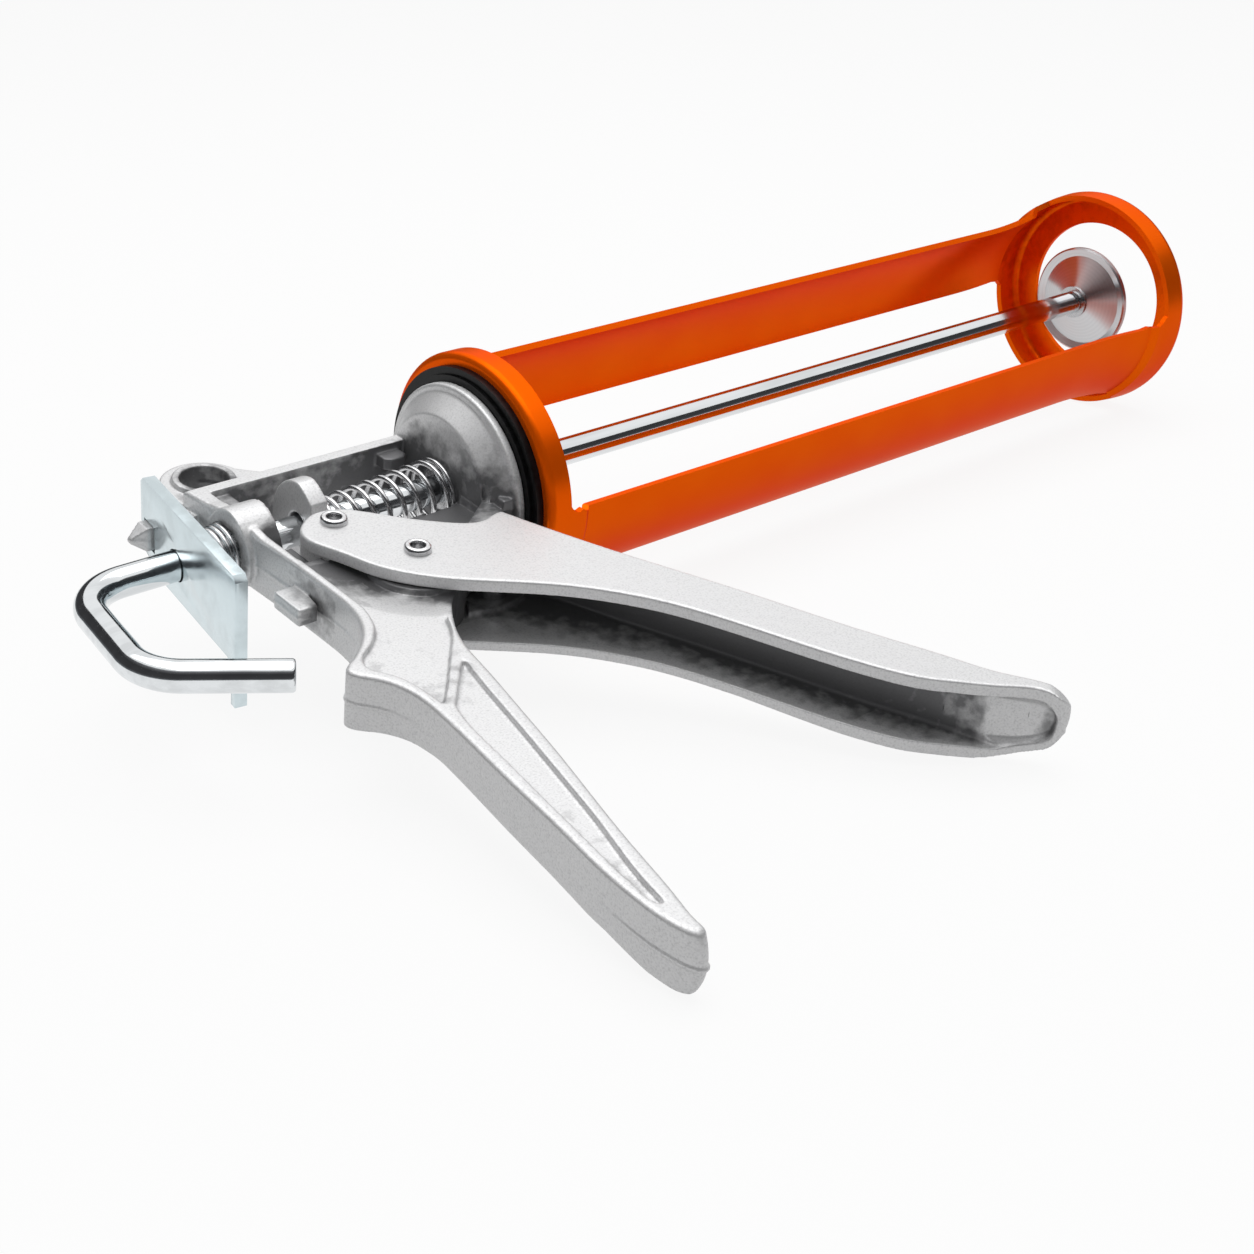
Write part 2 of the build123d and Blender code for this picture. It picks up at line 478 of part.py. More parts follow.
def hollow_rivet(x, y):
    """Semi-tubular rivet through both cheeks, headed at each end."""
    shank = post(x, y, RIVET_R, -TRIGGER_HALF, TRIGGER_HALF)
    top = post(x, y, RIVET_HEAD_R, TRIGGER_HALF, TRIGGER_HALF + RIVET_HEAD_H)
    low = post(x, y, RIVET_HEAD_R + 0.9, -TRIGGER_HALF - 1.1, -TRIGGER_HALF)
    bore = post(x, y, RIVET_HOLLOW_R, TRIGGER_HALF + RIVET_HEAD_H - RIVET_HOLLOW_DEEP,
                TRIGGER_HALF + RIVET_HEAD_H + 1)
    rivet = shank + top + low
    top_edge = rivet.edges().group_by(Axis.Z)[-1]
    return fillet(top_edge, 0.5) - bore


pivot_rivet = hollow_rivet(*PIVOT)
drive_rivet = hollow_rivet(*DRIVE)
washer_low = HEAD_HALF + 0.04
washer_thick = CHEEK_IN - washer_low - 0.02
pivot_washer = post(PIVOT[0], PIVOT[1], WASHER_R, washer_low, washer_low + washer_thick)
pivot_washer -= post(PIVOT[0], PIVOT[1], RIVET_R, 0, 20)
lower_washer = mirror(pivot_washer, Plane.XY)
drive_sleeve = post(DRIVE[0], DRIVE[1], RIVET_R + SLEEVE_WALL, -CHEEK_IN, CHEEK_IN) - post(
    DRIVE[0], DRIVE[1], RIVET_R, -20, 20)

# =====================================================================
# driving dog, spring seat and springs
# =====================================================================
dog_front_x = DOG_BACK_X + DOG_THICK
drive_dog = rod_piece(DOG_R, DOG_BACK_X, dog_front_x)
drive_dog -= block(DOG_BACK_X, dog_front_x, -DOG_R, DOG_FLANK_Y, DOG_HALF, DOG_R)
drive_dog -= block(DOG_BACK_X, dog_front_x, -DOG_R, DOG_FLANK_Y, -DOG_R, -DOG_HALF)
drive_dog += block(DOG_BACK_X, dog_front_x, DOG_FOOT_Y[0], 0, -DOG_HALF, DOG_HALF)
drive_dog += block(DOG_FOOT_BACK_X, dog_front_x, DOG_FOOT_Y[0], DOG_FOOT_Y[1], -DOG_HALF, DOG_HALF)
drive_dog -= rod_piece(ROD_R + RUN_GAP, DOG_FOOT_BACK_X, dog_front_x + 1)
slot_r = RIVET_R + SLEEVE_WALL + DOG_SLOT_GAP
drive_dog -= post(DRIVE[0], DRIVE[1], slot_r, -20, 20)
drive_dog -= post(DRIVE[0], DRIVE[1] + DOG_SLOT_RISE, slot_r, -20, 20)
drive_dog -= block(DRIVE[0] - slot_r, DRIVE[0] + slot_r, DRIVE[1], DRIVE[1] + DOG_SLOT_RISE, -20, 20)

seat_front_x = dog_front_x + SEAT_THICK
spring_seat = rod_piece(SEAT_R, dog_front_x, seat_front_x) - rod_piece(
    ROD_R + RUN_GAP, dog_front_x - 1, seat_front_x + 1)
drive_spring = cone_spring(
    DRIVE_WIRE_R, DRIVE_COIL_R[0], DRIVE_COIL_R[1], DRIVE_TURNS,
    seat_front_x + SPRING_GAP, FLANGE_BACK_X - SPRING_GAP)
release_spring = cone_spring(
    RELEASE_WIRE_R, RELEASE_COIL_R[0], RELEASE_COIL_R[1], RELEASE_TURNS,
    PLATE_BACK_X + PLATE_THICK + 1.0, BOSS_BACK_X - SPRING_GAP)

# =====================================================================
# release plate, drawn square to the rod and then leaned back about Z
# =====================================================================
plate_outline = [
    (PLATE_PEG_END - PLATE_CORNER, PLATE_TOP), (PLATE_THUMB_END + PLATE_CORNER, PLATE_TOP),
    (PLATE_THUMB_END, PLATE_TOP - PLATE_CORNER), (PLATE_THUMB_END, PLATE_TAB_LOW),
    (PLATE_THUMB_END + PLATE_TAB_WIDE, PLATE_TAB_LOW),
    (PLATE_THUMB_END + PLATE_TAB_WIDE, -PLATE_LOW - 1.5), (-24.5, -PLATE_LOW),
    (6.0, -PLATE_LOW), (PLATE_PEG_END, -4.2), (PLATE_PEG_END, PLATE_TOP - PLATE_CORNER)]
plate_face = make_face(Polyline(*[(0, y, z) for y, z in plate_outline], close=True))
release_plate = extrude(plate_face, PLATE_THICK, dir=(1, 0, 0))
hole_y = ROD_R / cos(radians(PLATE_LEAN)) + PLATE_THICK * tan(radians(PLATE_LEAN)) / 2 + RUN_GAP
rod_hole = scale(Cylinder(1, 3 * PLATE_THICK), by=(ROD_R + RUN_GAP * 3, hole_y + RUN_GAP * 4, 1))
release_plate -= Rot(0, 90, 0) * rod_hole
peg_clear = block(-PLATE_THICK, 2 * PLATE_THICK, peg_y[0] - PLATE_HOLE_SLACK,
                  peg_y[1] + PLATE_HOLE_SLACK, -PEG_HALF - PLATE_HOLE_SLACK / 2, PEG_HALF + PLATE_HOLE_SLACK / 2)
release_plate -= peg_clear
release_plate = Pos(PLATE_BACK_X, 0, 0) * Rot(0, 0, -PLATE_LEAN) * release_plate

# =====================================================================
# lay the gun down: turn everything about the rod axis, put the origin at the
# centre of the nozzle opening on the cup's front face, and write the nodes
# =====================================================================
LIE_ANGLE = degrees(asin((CUP_R - TRIGGER_HALF) / TRIGGER_REACH))

nodes = {
    "body_casting": body,
    "rear_guide_bush": rear_bush,
    "front_guide_bush": front_bush,
    "pivot_sleeve": pivot_sleeve,
    "seal_ring": seal_ring,
    "retainer_washer": retainer_washer,
    "retainer_clip": clip_ring,
    "rear_collar": collar,
    "rail_far": rail_far,
    "rail_near": rail_near,
    "front_cup": cup,
    "push_rod": push_rod,
    "collar_washer": collar_washer,
    "piston_disc": piston_disc,
    "front_washer": front_washer,
    "end_nut": end_nut,
    "trigger": trigger,
    "pivot_rivet": pivot_rivet,
    "drive_rivet": drive_rivet,
    "pivot_washer_upper": pivot_washer,
    "pivot_washer_lower": lower_washer,
    "drive_sleeve": drive_sleeve,
    "drive_dog": drive_dog,
    "spring_seat": spring_seat,
    "drive_spring": drive_spring,
    "release_spring": release_spring,
    "release_plate": release_plate,
}

os.makedirs("parts", exist_ok=True)
for name, solid in nodes.items():
    export_step(Pos(-CUP_FRONT_X, 0, 0) * Rot(LIE_ANGLE, 0, 0) * solid, "parts/" + name + ".step")
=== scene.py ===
# %% [markdown]
# # Caulking gun, dressed for its portrait
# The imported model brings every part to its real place.  This script gives each
# part the skin the real one has: rounded castings, a pressed and painted frame,
# bright wire and chrome.  We work in the gun's own frame in millimetres, with the
# push rod along X and the handles towards -Y, and turn each finished mesh into
# place once, so that every object stays at the origin.

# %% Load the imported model
import json
import math
import numpy
import bmesh
import bpy
from mathutils import Matrix, Vector
from mathutils.bvhtree import BVHTree


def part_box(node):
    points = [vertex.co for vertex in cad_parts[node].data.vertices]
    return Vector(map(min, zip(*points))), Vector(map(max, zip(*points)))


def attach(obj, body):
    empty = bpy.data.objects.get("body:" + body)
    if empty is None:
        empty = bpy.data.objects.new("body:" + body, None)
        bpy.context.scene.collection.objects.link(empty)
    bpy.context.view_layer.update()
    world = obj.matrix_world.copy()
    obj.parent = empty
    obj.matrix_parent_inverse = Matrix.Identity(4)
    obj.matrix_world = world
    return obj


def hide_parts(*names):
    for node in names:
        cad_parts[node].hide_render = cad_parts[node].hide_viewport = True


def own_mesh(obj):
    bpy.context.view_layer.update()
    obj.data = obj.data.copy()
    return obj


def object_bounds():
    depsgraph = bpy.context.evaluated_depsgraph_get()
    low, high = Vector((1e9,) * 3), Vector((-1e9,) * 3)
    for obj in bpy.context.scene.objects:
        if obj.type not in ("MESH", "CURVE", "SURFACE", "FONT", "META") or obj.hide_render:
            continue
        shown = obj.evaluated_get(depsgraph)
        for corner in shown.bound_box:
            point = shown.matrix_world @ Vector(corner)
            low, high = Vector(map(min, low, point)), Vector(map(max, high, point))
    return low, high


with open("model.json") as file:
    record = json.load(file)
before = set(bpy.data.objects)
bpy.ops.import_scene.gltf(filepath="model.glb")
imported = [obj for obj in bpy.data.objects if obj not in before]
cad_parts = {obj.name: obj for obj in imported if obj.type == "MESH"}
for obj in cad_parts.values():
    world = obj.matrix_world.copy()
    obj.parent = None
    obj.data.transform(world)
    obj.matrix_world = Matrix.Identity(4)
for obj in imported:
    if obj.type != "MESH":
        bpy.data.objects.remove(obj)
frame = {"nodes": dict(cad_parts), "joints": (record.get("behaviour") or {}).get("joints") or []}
cad_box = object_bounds()

# %% [markdown]
# ## The gun's own frame
# The gun rests on its cup and on the tip of the trigger, so its middle plane
# leans.  The main rivet's axis tells by how much, and the rear collar tells where
# the frame's back face is.  `GUN` carries gun millimetres to metres in the room.

# %% Gun frame
MM = 0.001
main_rivet_axis = next(j["axis"] for j in frame["joints"] if j["name"] == "trigger_swing")
LEAN = math.atan2(-main_rivet_axis[1], main_rivet_axis[2])
COLLAR_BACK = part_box("rear_collar")[0].x
GUN = (Matrix.Translation((COLLAR_BACK, 0, 0)) @ Matrix.Rotation(LEAN, 4, "X")
       @ Matrix.Scale(MM, 4))
print("lean of the gun, degrees:", round(math.degrees(LEAN), 2))


# %% [markdown]
# ## Small helpers
# `opened` and `closed` let us edit a mesh, and `copy_of` hands us a merged copy of a
# CAD part in gun millimetres.  `live_object` wraps a mesh so that modifiers can work
# on it, `modify` adds one, and `baked_mesh` takes the result.  `finished_piece`
# turns it into place, gives it its finish and says which body it moves with.

# %% Open, close and copy a mesh
MERGE_MM = 0.002


def opened(mesh):
    """The mesh in an editable form; `closed` writes it back."""
    work = bmesh.new()
    work.from_mesh(mesh)
    return work


def closed(work, mesh):
    work.to_mesh(mesh)
    work.free()
    return mesh


def copy_of(node_name):
    mesh = frame["nodes"][node_name].data.copy()
    mesh.transform(GUN.inverted())
    work = opened(mesh)
    bmesh.ops.remove_doubles(work, verts=work.verts, dist=MERGE_MM)
    closed(work, mesh).materials.clear()
    return mesh


# %% Wrap, modify and finish
def set_all(made, settings):
    """The thing just made, with each named setting given its value."""
    for key, value in settings.items():
        setattr(made, key, value)
    return made


def live_object(name, mesh):
    holder = bpy.data.objects.new(name, mesh)
    bpy.context.scene.collection.objects.link(holder)
    return holder


def modify(holder, kind, **settings):
    return set_all(holder.modifiers.new(kind.lower(), kind), settings)


def baked_mesh(holder, name):
    """Plain mesh of what the modifiers make; the object that held them goes."""
    bpy.context.view_layer.update()
    seen = holder.evaluated_get(bpy.context.evaluated_depsgraph_get())
    mesh = bpy.data.meshes.new_from_object(seen)
    mesh.name = name
    bpy.data.objects.remove(holder)
    return mesh


def finished_piece(name, mesh, body, material, stands_for=()):
    """Object in its real place that rides `body` and hides the CAD parts named last."""
    mesh.transform(GUN)
    mesh.materials.clear()
    mesh.materials.append(material)
    piece = live_object(name, mesh)
    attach(piece, body)
    if stands_for:
        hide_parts(*stands_for)
    print(name, "has", sum(len(p.vertices) - 2 for p in mesh.polygons), "triangles")
    return piece


# %% [markdown]
# ## Finishes
# Every finish is a Principled shader.  What is the same all over goes straight on
# the shader's own sockets; grain, sparkle and small dents come from noise on Object
# coordinates, so they stay with the part from every side.

# %% Nodes and shaders
def join(tree, taker, links):
    """Each socket named in `links` is linked to its source, or set to its value."""
    for socket, source in links:
        if isinstance(source, bpy.types.NodeSocket):
            tree.links.new(source, taker.inputs[socket])
        else:
            taker.inputs[socket].default_value = source
    return taker


def node(tree, kind, links=(), **settings):
    return join(tree, set_all(tree.nodes.new(kind), settings), links)


def math_node(tree, operation, first, second=None):
    links = [(k, source) for k, source in enumerate((first, second)) if source is not None]
    return node(tree, "ShaderNodeMath", links, operation=operation).outputs[0]


def new_finish(name, metallic, roughness):
    material = bpy.data.materials.new(name)
    material.use_nodes = True
    tree = material.node_tree
    return material, tree, join(tree, tree.nodes["Principled BSDF"], [
        ("Metallic", metallic), ("Roughness", roughness)])


# %% Grain, colour and relief
def noise_on_object(tree, size_mm, detail=2.0, stretch=(1, 1, 1)):
    """Noise of about `size_mm`; a stretch below 1 draws it out along that axis."""
    place = node(tree, "ShaderNodeTexCoord")
    turn = node(tree, "ShaderNodeMapping", [
        ("Vector", place.outputs["Object"]), ("Rotation", (-LEAN, 0, 0)), ("Scale", stretch)])
    return node(tree, "ShaderNodeTexNoise", [
        ("Vector", turn.outputs["Vector"]), ("Scale", 1.0 / (size_mm * MM)), ("Detail", detail)])


def colour_ramp(tree, value, stops):
    """Colour of the value, from rising stops of (position, colour)."""
    made = node(tree, "ShaderNodeValToRGB", [("Fac", value)])
    ramp = made.color_ramp.elements
    for element, (position, colour) in zip(ramp, (stops[0], stops[-1])):
        element.position = position
        element.color = (*colour, 1)
    for position, colour in stops[1:-1]:
        ramp.new(position).color = (*colour, 1)
    return made.outputs["Color"]


def colour_from(tree, grain, stops):
    return colour_ramp(tree, grain.outputs["Fac"], stops)


def scaled(tree, value, low, high, start=0.0, end=1.0):
    """Number that runs from `low` to `high` while the value runs from `start` to `end`."""
    return node(tree, "ShaderNodeMapRange", [
        ("Value", value), ("From Min", start), ("From Max", end), ("To Min", low),
        ("To Max", high)]).outputs["Result"]


def value_from(tree, grain, low, high):
    return scaled(tree, grain.outputs["Fac"], low, high, 0.35, 0.65)


def bump_with(tree, shader, grain, height_mm, strength, below=None):
    """Fine relief from the grain, laid over the relief `below` if there is one."""
    bump = node(tree, "ShaderNodeBump", [
        ("Distance", height_mm * MM), ("Strength", strength), ("Height", grain.outputs["Fac"])])
    if below:
        join(tree, bump, [("Normal", below.outputs["Normal"])])
    join(tree, shader, [("Normal", bump.outputs["Normal"])])
    return bump


# %% [markdown]
# ### Cast aluminium
# The body and trigger are tumbled castings, with a pale, finely grained skin.
# Their deep hollows and inner corners get painted shade: a dark colour laid where
# little light would reach.  So the finish needs to know how deep a place lies.  Each
# point of the skin will carry that as a number, worked out further down, and the
# finish only has to read it.

# %% Cast aluminium
SHADE_BORDER_CLOUD = 0.05


def read_shade_depth(tree, start, end, dark):
    """Share of the painted shade colour: none below the mark `start`, `dark` from `end` on.

    A faint cloud on the mark makes the border uneven."""
    deep = node(tree, "ShaderNodeAttribute", attribute_name="shade_depth")
    uneven = value_from(tree, noise_on_object(tree, 3.0, 3.0), -SHADE_BORDER_CLOUD, SHADE_BORDER_CLOUD)
    total = math_node(tree, "ADD", deep.outputs["Fac"], uneven)
    return scaled(tree, total, 0.0, dark, start, end)


def blend_colours(tree, share, first, second):
    """Mix of a linked colour and a plain one; sockets 6, 7 and 2 are the colour ones."""
    return node(tree, "ShaderNodeMix", [
        ("Factor", share), (6, first), (7, (*second, 1))], data_type="RGBA").outputs[2]


# The next colour is painted shade, laid into the castings' hollows and inner corners.
CAST_IN_SHADE = (0.115, 0.115, 0.12)
cast_aluminium, tree, shader = new_finish("cast_aluminium", 0.45, 0.42)
grain = noise_on_object(tree, 0.42, 2.0)
tumbled = colour_from(tree, grain, [
    (0.30, (0.62, 0.62, 0.625)), (0.46, (0.72, 0.72, 0.725)), (0.70, (0.77, 0.77, 0.775))])
shade_share = read_shade_depth(tree, 0.19, 0.37, 0.93)
join(tree, shader, [("Base Color", blend_colours(tree, shade_share, tumbled, CAST_IN_SHADE)),
                    ("Roughness", value_from(tree, grain, 0.46, 0.38))])
skin = bump_with(tree, shader, noise_on_object(tree, 6.0, 2.0), 0.08, 0.3)
bump_with(tree, shader, noise_on_object(tree, 0.5, 2.0), 0.010, 0.5, skin)

# %% [markdown]
# ### Orange paint
# A glossy sprayed coat over pressed steel: nearly even colour, shallow waves along
# the strips, and the faint orange-peel every spray gun leaves.  It is a translucent
# lacquer over bright metal, so even its highlights are orange: we make it partly
# metallic and turn the white outer gloss almost off.  Inner faces get painted shade,
# a deeper orange read from the hollows as in the castings' finish.

# %% Orange paint
SHADED_PAINT = (0.32, 0.014, 0.0005)
orange_paint, tree, shader = new_finish("orange_paint", 0.52, 0.32)
tone = noise_on_object(tree, 14.0, 1.0)
open_paint = colour_from(tree, tone, [(0.3, (0.98, 0.118, 0.001)), (0.7, (1.00, 0.134, 0.002))])
# The deeper orange on inner faces is painted shade.
shade_share = read_shade_depth(tree, 0.30, 0.60, 0.90)
join(tree, shader, [
    ("Base Color", blend_colours(tree, shade_share, open_paint, SHADED_PAINT)),
    ("Specular IOR Level", 0.02), ("Specular Tint", (1.0, 0.30, 0.05, 1))])
peel = bump_with(tree, shader, noise_on_object(tree, 3.5, 1.0), 0.015, 0.3)
bump_with(tree, shader, noise_on_object(tree, 9.0, 2.0, (0.06, 1, 1)), 0.10, 0.5, peel)

# %% [markdown]
# ### Bright metals
# Chrome on the rod, polished steel on the disc, satin steel on small turned parts,
# spring wire, and the bluish zinc plating of the release plate.

# %% Bright metals
DULL_SHARE = 0.86


def metal(name, colour, roughness, streak_mm, stretch, roughness_spread, height_mm=0.01):
    """Finish of bare metal, with streaks that change its tone and its roughness."""
    material, tree, shader = new_finish(name, 1.0, roughness)
    grain = noise_on_object(tree, streak_mm, 3.0, stretch)
    dark = tuple(c * DULL_SHARE for c in colour)
    rough = value_from(tree, grain, roughness - roughness_spread, roughness + roughness_spread)
    join(tree, shader, [("Base Color", colour_from(tree, grain, [(0.35, dark), (0.6, colour)])),
                        ("Roughness", rough)])
    bump_with(tree, shader, grain, height_mm, 0.3)
    return material


chrome = metal("chrome", (0.76, 0.785, 0.80), 0.09, 2.5, (0.08, 1, 1), 0.03)
steel = metal("steel", (0.52, 0.52, 0.53), 0.28, 0.8, (1, 1, 1), 0.08)
spring_steel = metal("spring_steel", (0.70, 0.70, 0.71), 0.19, 3.0, (1, 1, 1), 0.03, 0.002)
zinc_plate = metal("zinc_plate", (0.66, 0.75, 0.78), 0.20, 5.0, (1, 1, 1), 0.06, 0.004)

# %% [markdown]
# ### Rivet steel
# Rivet heads are polished by the die that closed them, and the bore in their middle
# gets painted shade.  Like the castings, the finish reads how deep a point lies.

# %% Rivet steel
# The bore's dark colour is painted shade.
RIVET_BORE_SHADE = (0.24, 0.24, 0.24)
bright_steel, tree, shader = new_finish("bright_steel", 1.0, 0.22)
grain = noise_on_object(tree, 0.8, 2.0)
polished = colour_from(tree, grain, [(0.35, (0.66, 0.66, 0.67)), (0.6, (0.76, 0.76, 0.77))])
shade_share = read_shade_depth(tree, 0.34, 0.60, 0.90)
join(tree, shader, [("Base Color", blend_colours(tree, shade_share, polished, RIVET_BORE_SHADE))])

# %% [markdown]
# ### Spun steel of the disc
# The disc is turned on a lathe, and the tool's fine rings spread every highlight
# into a bow tie.  Drawing thousands of rings would be slow, and an anisotropic
# shader gives the same bow tie at once.  Its tangent runs round the axis, a quarter
# turn lays the highlight across the rings, and a Wave texture tints them faintly.

# %% Spun steel
spun_steel, tree, shader = new_finish("spun_steel", 1.0, 0.30)
round_axis = node(tree, "ShaderNodeTangent", direction_type="RADIAL", axis="X")
place = node(tree, "ShaderNodeTexCoord")
rings = node(tree, "ShaderNodeTexWave", [
    ("Vector", place.outputs["Object"]), ("Scale", 320.0), ("Distortion", 0.6)],
    wave_type="RINGS", rings_direction="X")
ringed = colour_from(tree, rings, [(0.1, (0.60, 0.60, 0.61)), (0.9, (0.63, 0.63, 0.64))])
join(tree, shader, [("Anisotropic", 0.9), ("Anisotropic Rotation", 0.25),
                    ("Tangent", round_axis.outputs["Tangent"]), ("Base Color", ringed)])

# %% [markdown]
# ### Black rubber
# The seal ring is moulded rubber: nearly black, with little gloss and a fine dust
# in its pores.

# %% Black rubber
black_rubber, tree, shader = new_finish("black_rubber", 0.0, 0.30)
dust = noise_on_object(tree, 1.6, 3.0)
dusty = colour_from(tree, dust, [(0.35, (0.003, 0.003, 0.003)), (0.7, (0.009, 0.009, 0.010))])
join(tree, shader, [("Base Color", dusty), ("Specular IOR Level", 0.15)])
bump_with(tree, shader, dust, 0.02, 0.3)


# %% [markdown]
# ## Castings
# A casting has no sharp edge anywhere.  Instead of rounding hundreds of edges one
# by one, we wrap the whole part in a fine skin of small squares (a voxel remesh),
# relax it a little, which rounds every edge and fills every inner corner just as a
# mould does, and then thin the skin out where it is flat.  A low ridge along the
# middle shows where the two halves of the mould met.

# %% Parting ridge
RIDGE_HALF = 0.40
RIDGE_ROOT = -0.6


def parting_ridge(mesh, proud, keep):
    """Closed low ridge along the outline of the mesh at mid height.

    `proud` gives its height at a place, and `keep` says where there is one."""
    work = opened(mesh)
    cut = bmesh.ops.bisect_plane(work, geom=work.verts[:] + work.edges[:] + work.faces[:],
                                 plane_co=(0, 0, 0), plane_no=(0, 0, 1), dist=0.001)
    edges = [g for g in cut["geom_cut"] if isinstance(g, bmesh.types.BMEdge)]
    work.normal_update()
    ridge = bmesh.new()
    for edge in edges:
        ends = []
        for vert in edge.verts:
            out = Vector((vert.normal.x, vert.normal.y, 0))
            ends.append((vert.co.copy(), out.normalized() if out.length > 0.1 else None))
        if any(out is None for _, out in ends):
            continue
        middle = (ends[0][0] + ends[1][0]) / 2
        if not keep(middle, ends[0][1]):
            continue
        ring = []
        for point, out in ends:
            rise = proud(point)
            for side, up in ((RIDGE_ROOT, -RIDGE_HALF), (rise, -RIDGE_HALF * 0.5),
                             (rise, RIDGE_HALF * 0.5), (RIDGE_ROOT, RIDGE_HALF)):
                ring.append(ridge.verts.new(point + out * side + Vector((0, 0, up))))
        for k in range(4):
            a, b = k, (k + 1) % 4
            ridge.faces.new((ring[a], ring[b], ring[4 + b], ring[4 + a]))
        ridge.faces.new(ring[0:4][::-1])
        ridge.faces.new(ring[4:8])
    bmesh.ops.recalc_face_normals(ridge, faces=ridge.faces)
    work.free()
    return ridge


# %% Cast skin
VOXEL = 0.30
RELAX_ROUNDS = 3
LONGEST_EDGE = 2.5


def split_long_edges(mesh, longest):
    """Flat fields get a few points of their own again, so that marks can vary there."""
    work = opened(mesh)
    bmesh.ops.dissolve_degenerate(work, edges=work.edges, dist=0.001)
    for _ in range(6):
        far_apart = [e for e in work.edges if e.calc_length() > longest]
        if not far_apart:
            break
        bmesh.ops.subdivide_edges(work, edges=far_apart, cuts=1)
        bmesh.ops.triangulate(work, faces=[f for f in work.faces if len(f.verts) > 3])
    closed(work, mesh)


def cast_skin(name, mesh, extras, voxel, share, reshape):
    """Mesh of a casting: parts joined, wrapped in a fine skin, relaxed, moved point
    by point with `reshape`, and thinned to a share of its faces."""
    work = opened(mesh)
    for extra in extras:
        part = closed(extra, bpy.data.meshes.new("part"))
        work.from_mesh(part)
        bpy.data.meshes.remove(part)
    holder = live_object(name, closed(work, mesh))
    modify(holder, "REMESH", mode="VOXEL", voxel_size=voxel)
    modify(holder, "SMOOTH", factor=0.5, iterations=RELAX_ROUNDS)
    skin = baked_mesh(holder, name)
    for vertex in skin.vertices:
        reshape(vertex.co)
    holder = live_object(name, skin)
    modify(holder, "DECIMATE", ratio=share)
    result = baked_mesh(holder, name)
    split_long_edges(result, LONGEST_EDGE)
    result.shade_smooth()
    return result


# %% [markdown]
# ## How deep does each point lie?
# From every point of a skin we look out in directions evenly spread over a ball,
# and note how much of that view is blocked.  A wall counts in full up to half the
# distance `far`, and then fades to nothing at `far`.  Open faces see only the room,
# inner corners lose about half of it, and the bottom of the trigger's channel loses
# most.  The finishes paint shade from this number.  The body counts the trigger too,
# so that painted shade also falls on the bare metal under the cheeks.  Odd points
# take their neighbours' value, and averaging along the surface, but not across its
# edges, takes out the steps.

# %% Hollow share
LOOKS = 46
EYE_LIFT = 0.12
LEAST_FACING = 0.1
SAME_FACE = 0.75
ODD_ROUNDS, ALL_ROUNDS = 2, 70
ODD_STEP = 0.22
golden_turn = math.pi * (3 - math.sqrt(5))
looks = []
for k in range(LOOKS):
    height = 1 - (2 * k + 1) / LOOKS
    reach = math.sqrt(1 - height * height)
    looks.append(Vector((reach * math.cos(golden_turn * k), reach * math.sin(golden_turn * k),
                         height)))


def mark_shade_depth(mesh, far, others=()):
    """Blocked share of the view from each point, stored as an attribute that sets painted shade.
    """
    points, faces = [], []
    for solid in (mesh, *others):
        first = len(points)
        points += [v.co.copy() for v in solid.vertices]
        faces += [[first + k for k in p.vertices] for p in solid.polygons]
    wall = BVHTree.FromPolygons(points, faces)
    blocked = []
    for vertex in mesh.vertices:
        normal = vertex.normal
        eye = vertex.co + normal * EYE_LIFT
        hidden = total = 0.0
        for look in looks:
            facing = normal.dot(look)
            if facing > LEAST_FACING:
                total += facing
                distance = wall.ray_cast(eye, look, far)[3]
                if distance is not None:
                    hidden += facing * min(2 * (1 - distance / far), 1)
        blocked.append(hidden / total if total else 0.0)
    count = len(mesh.vertices)
    blocked = numpy.array(blocked)
    corners = mesh.vertices
    pairs = numpy.array([(a, b) for a, b in (edge.vertices for edge in mesh.edges)
                         if corners[a].normal.dot(corners[b].normal) > SAME_FACE])
    one, other = pairs[:, 0], pairs[:, 1]
    neighbours = numpy.bincount(pairs.ravel(), minlength=count)
    for attempt in range(ALL_ROUNDS):
        summed = (numpy.bincount(one, blocked[other], count)
                  + numpy.bincount(other, blocked[one], count))
        if attempt < ODD_ROUNDS:
            average = numpy.where(neighbours > 0, summed / numpy.maximum(neighbours, 1), blocked)
            blocked = numpy.where(abs(average - blocked) > ODD_STEP, average, blocked)
        else:
            blocked = (summed + blocked) / (neighbours + 1)
    marks = mesh.attributes.new("shade_depth", "FLOAT", "POINT")
    marks.data.foreach_set("value", blocked)
    open_share = 1 - float(blocked.max())
    print(mesh.name, "deepest point sees", round(100 * open_share), "% of the room")


def between(table, at):
    """Straight-line value from a short table of (position, value), rising positions."""
    if at <= table[0][0]:
        return table[0][1]
    for (p0, v0), (p1, v1) in zip(table, table[1:]):
        if at <= p1:
            return v0 + (v1 - v0) * (at - p0) / (p1 - p0)
    return table[-1][1]


# %% [markdown]
# ## Body casting
# Below the parting line the handle is slimmer and rounder than above it, its end
# bulges at that line, the rod boss is a little taller than round, and the pivot
# boss stands out of a lower field.  The small lug behind it is longer, the rim
# beside the flange is flat, and the web along the lower wall lies deeper.  These are
# gentle changes of form, so we move the points of the skin instead of cutting the
# solid again.

# %% Shape of the body
RIM_HALF = 6.6
HANDLE_FROM_Y, HANDLE_END_Y = -48, -148.7
TIP_BULGE, BULGE_REACH = 2.0, 9
PARTING_PROUD = [(-150, 0.40), (-138, 0.35), (-125, 0.12), (-75, 0.10), (-62, 0.30), (-40, 0.20)]
SLIMMER_BELOW = [(-140, 0), (-125, 0.2), (-110, 0.6), (-95, 1.1), (-80, 1.5), (-70, 1.3),
                 (-58, 0.4), (-48, 0)]
HANDLE_REAR = [(-148, -72.2), (-141, -73.8), (-126, -73.5), (-114, -72.1), (-102, -71.0),
               (-90, -69.6), (-77, -68.3), (-67, -69.3)]
HANDLE_FRONT = [(-148, -69.6), (-140, -67.8), (-128, -65.0), (-114, -61.8), (-99, -58.0),
                (-84, -54.6), (-69, -51.4), (-62, -49.8)]
ROUND_BELOW, ROUND_MOST = 1.7, 0.8
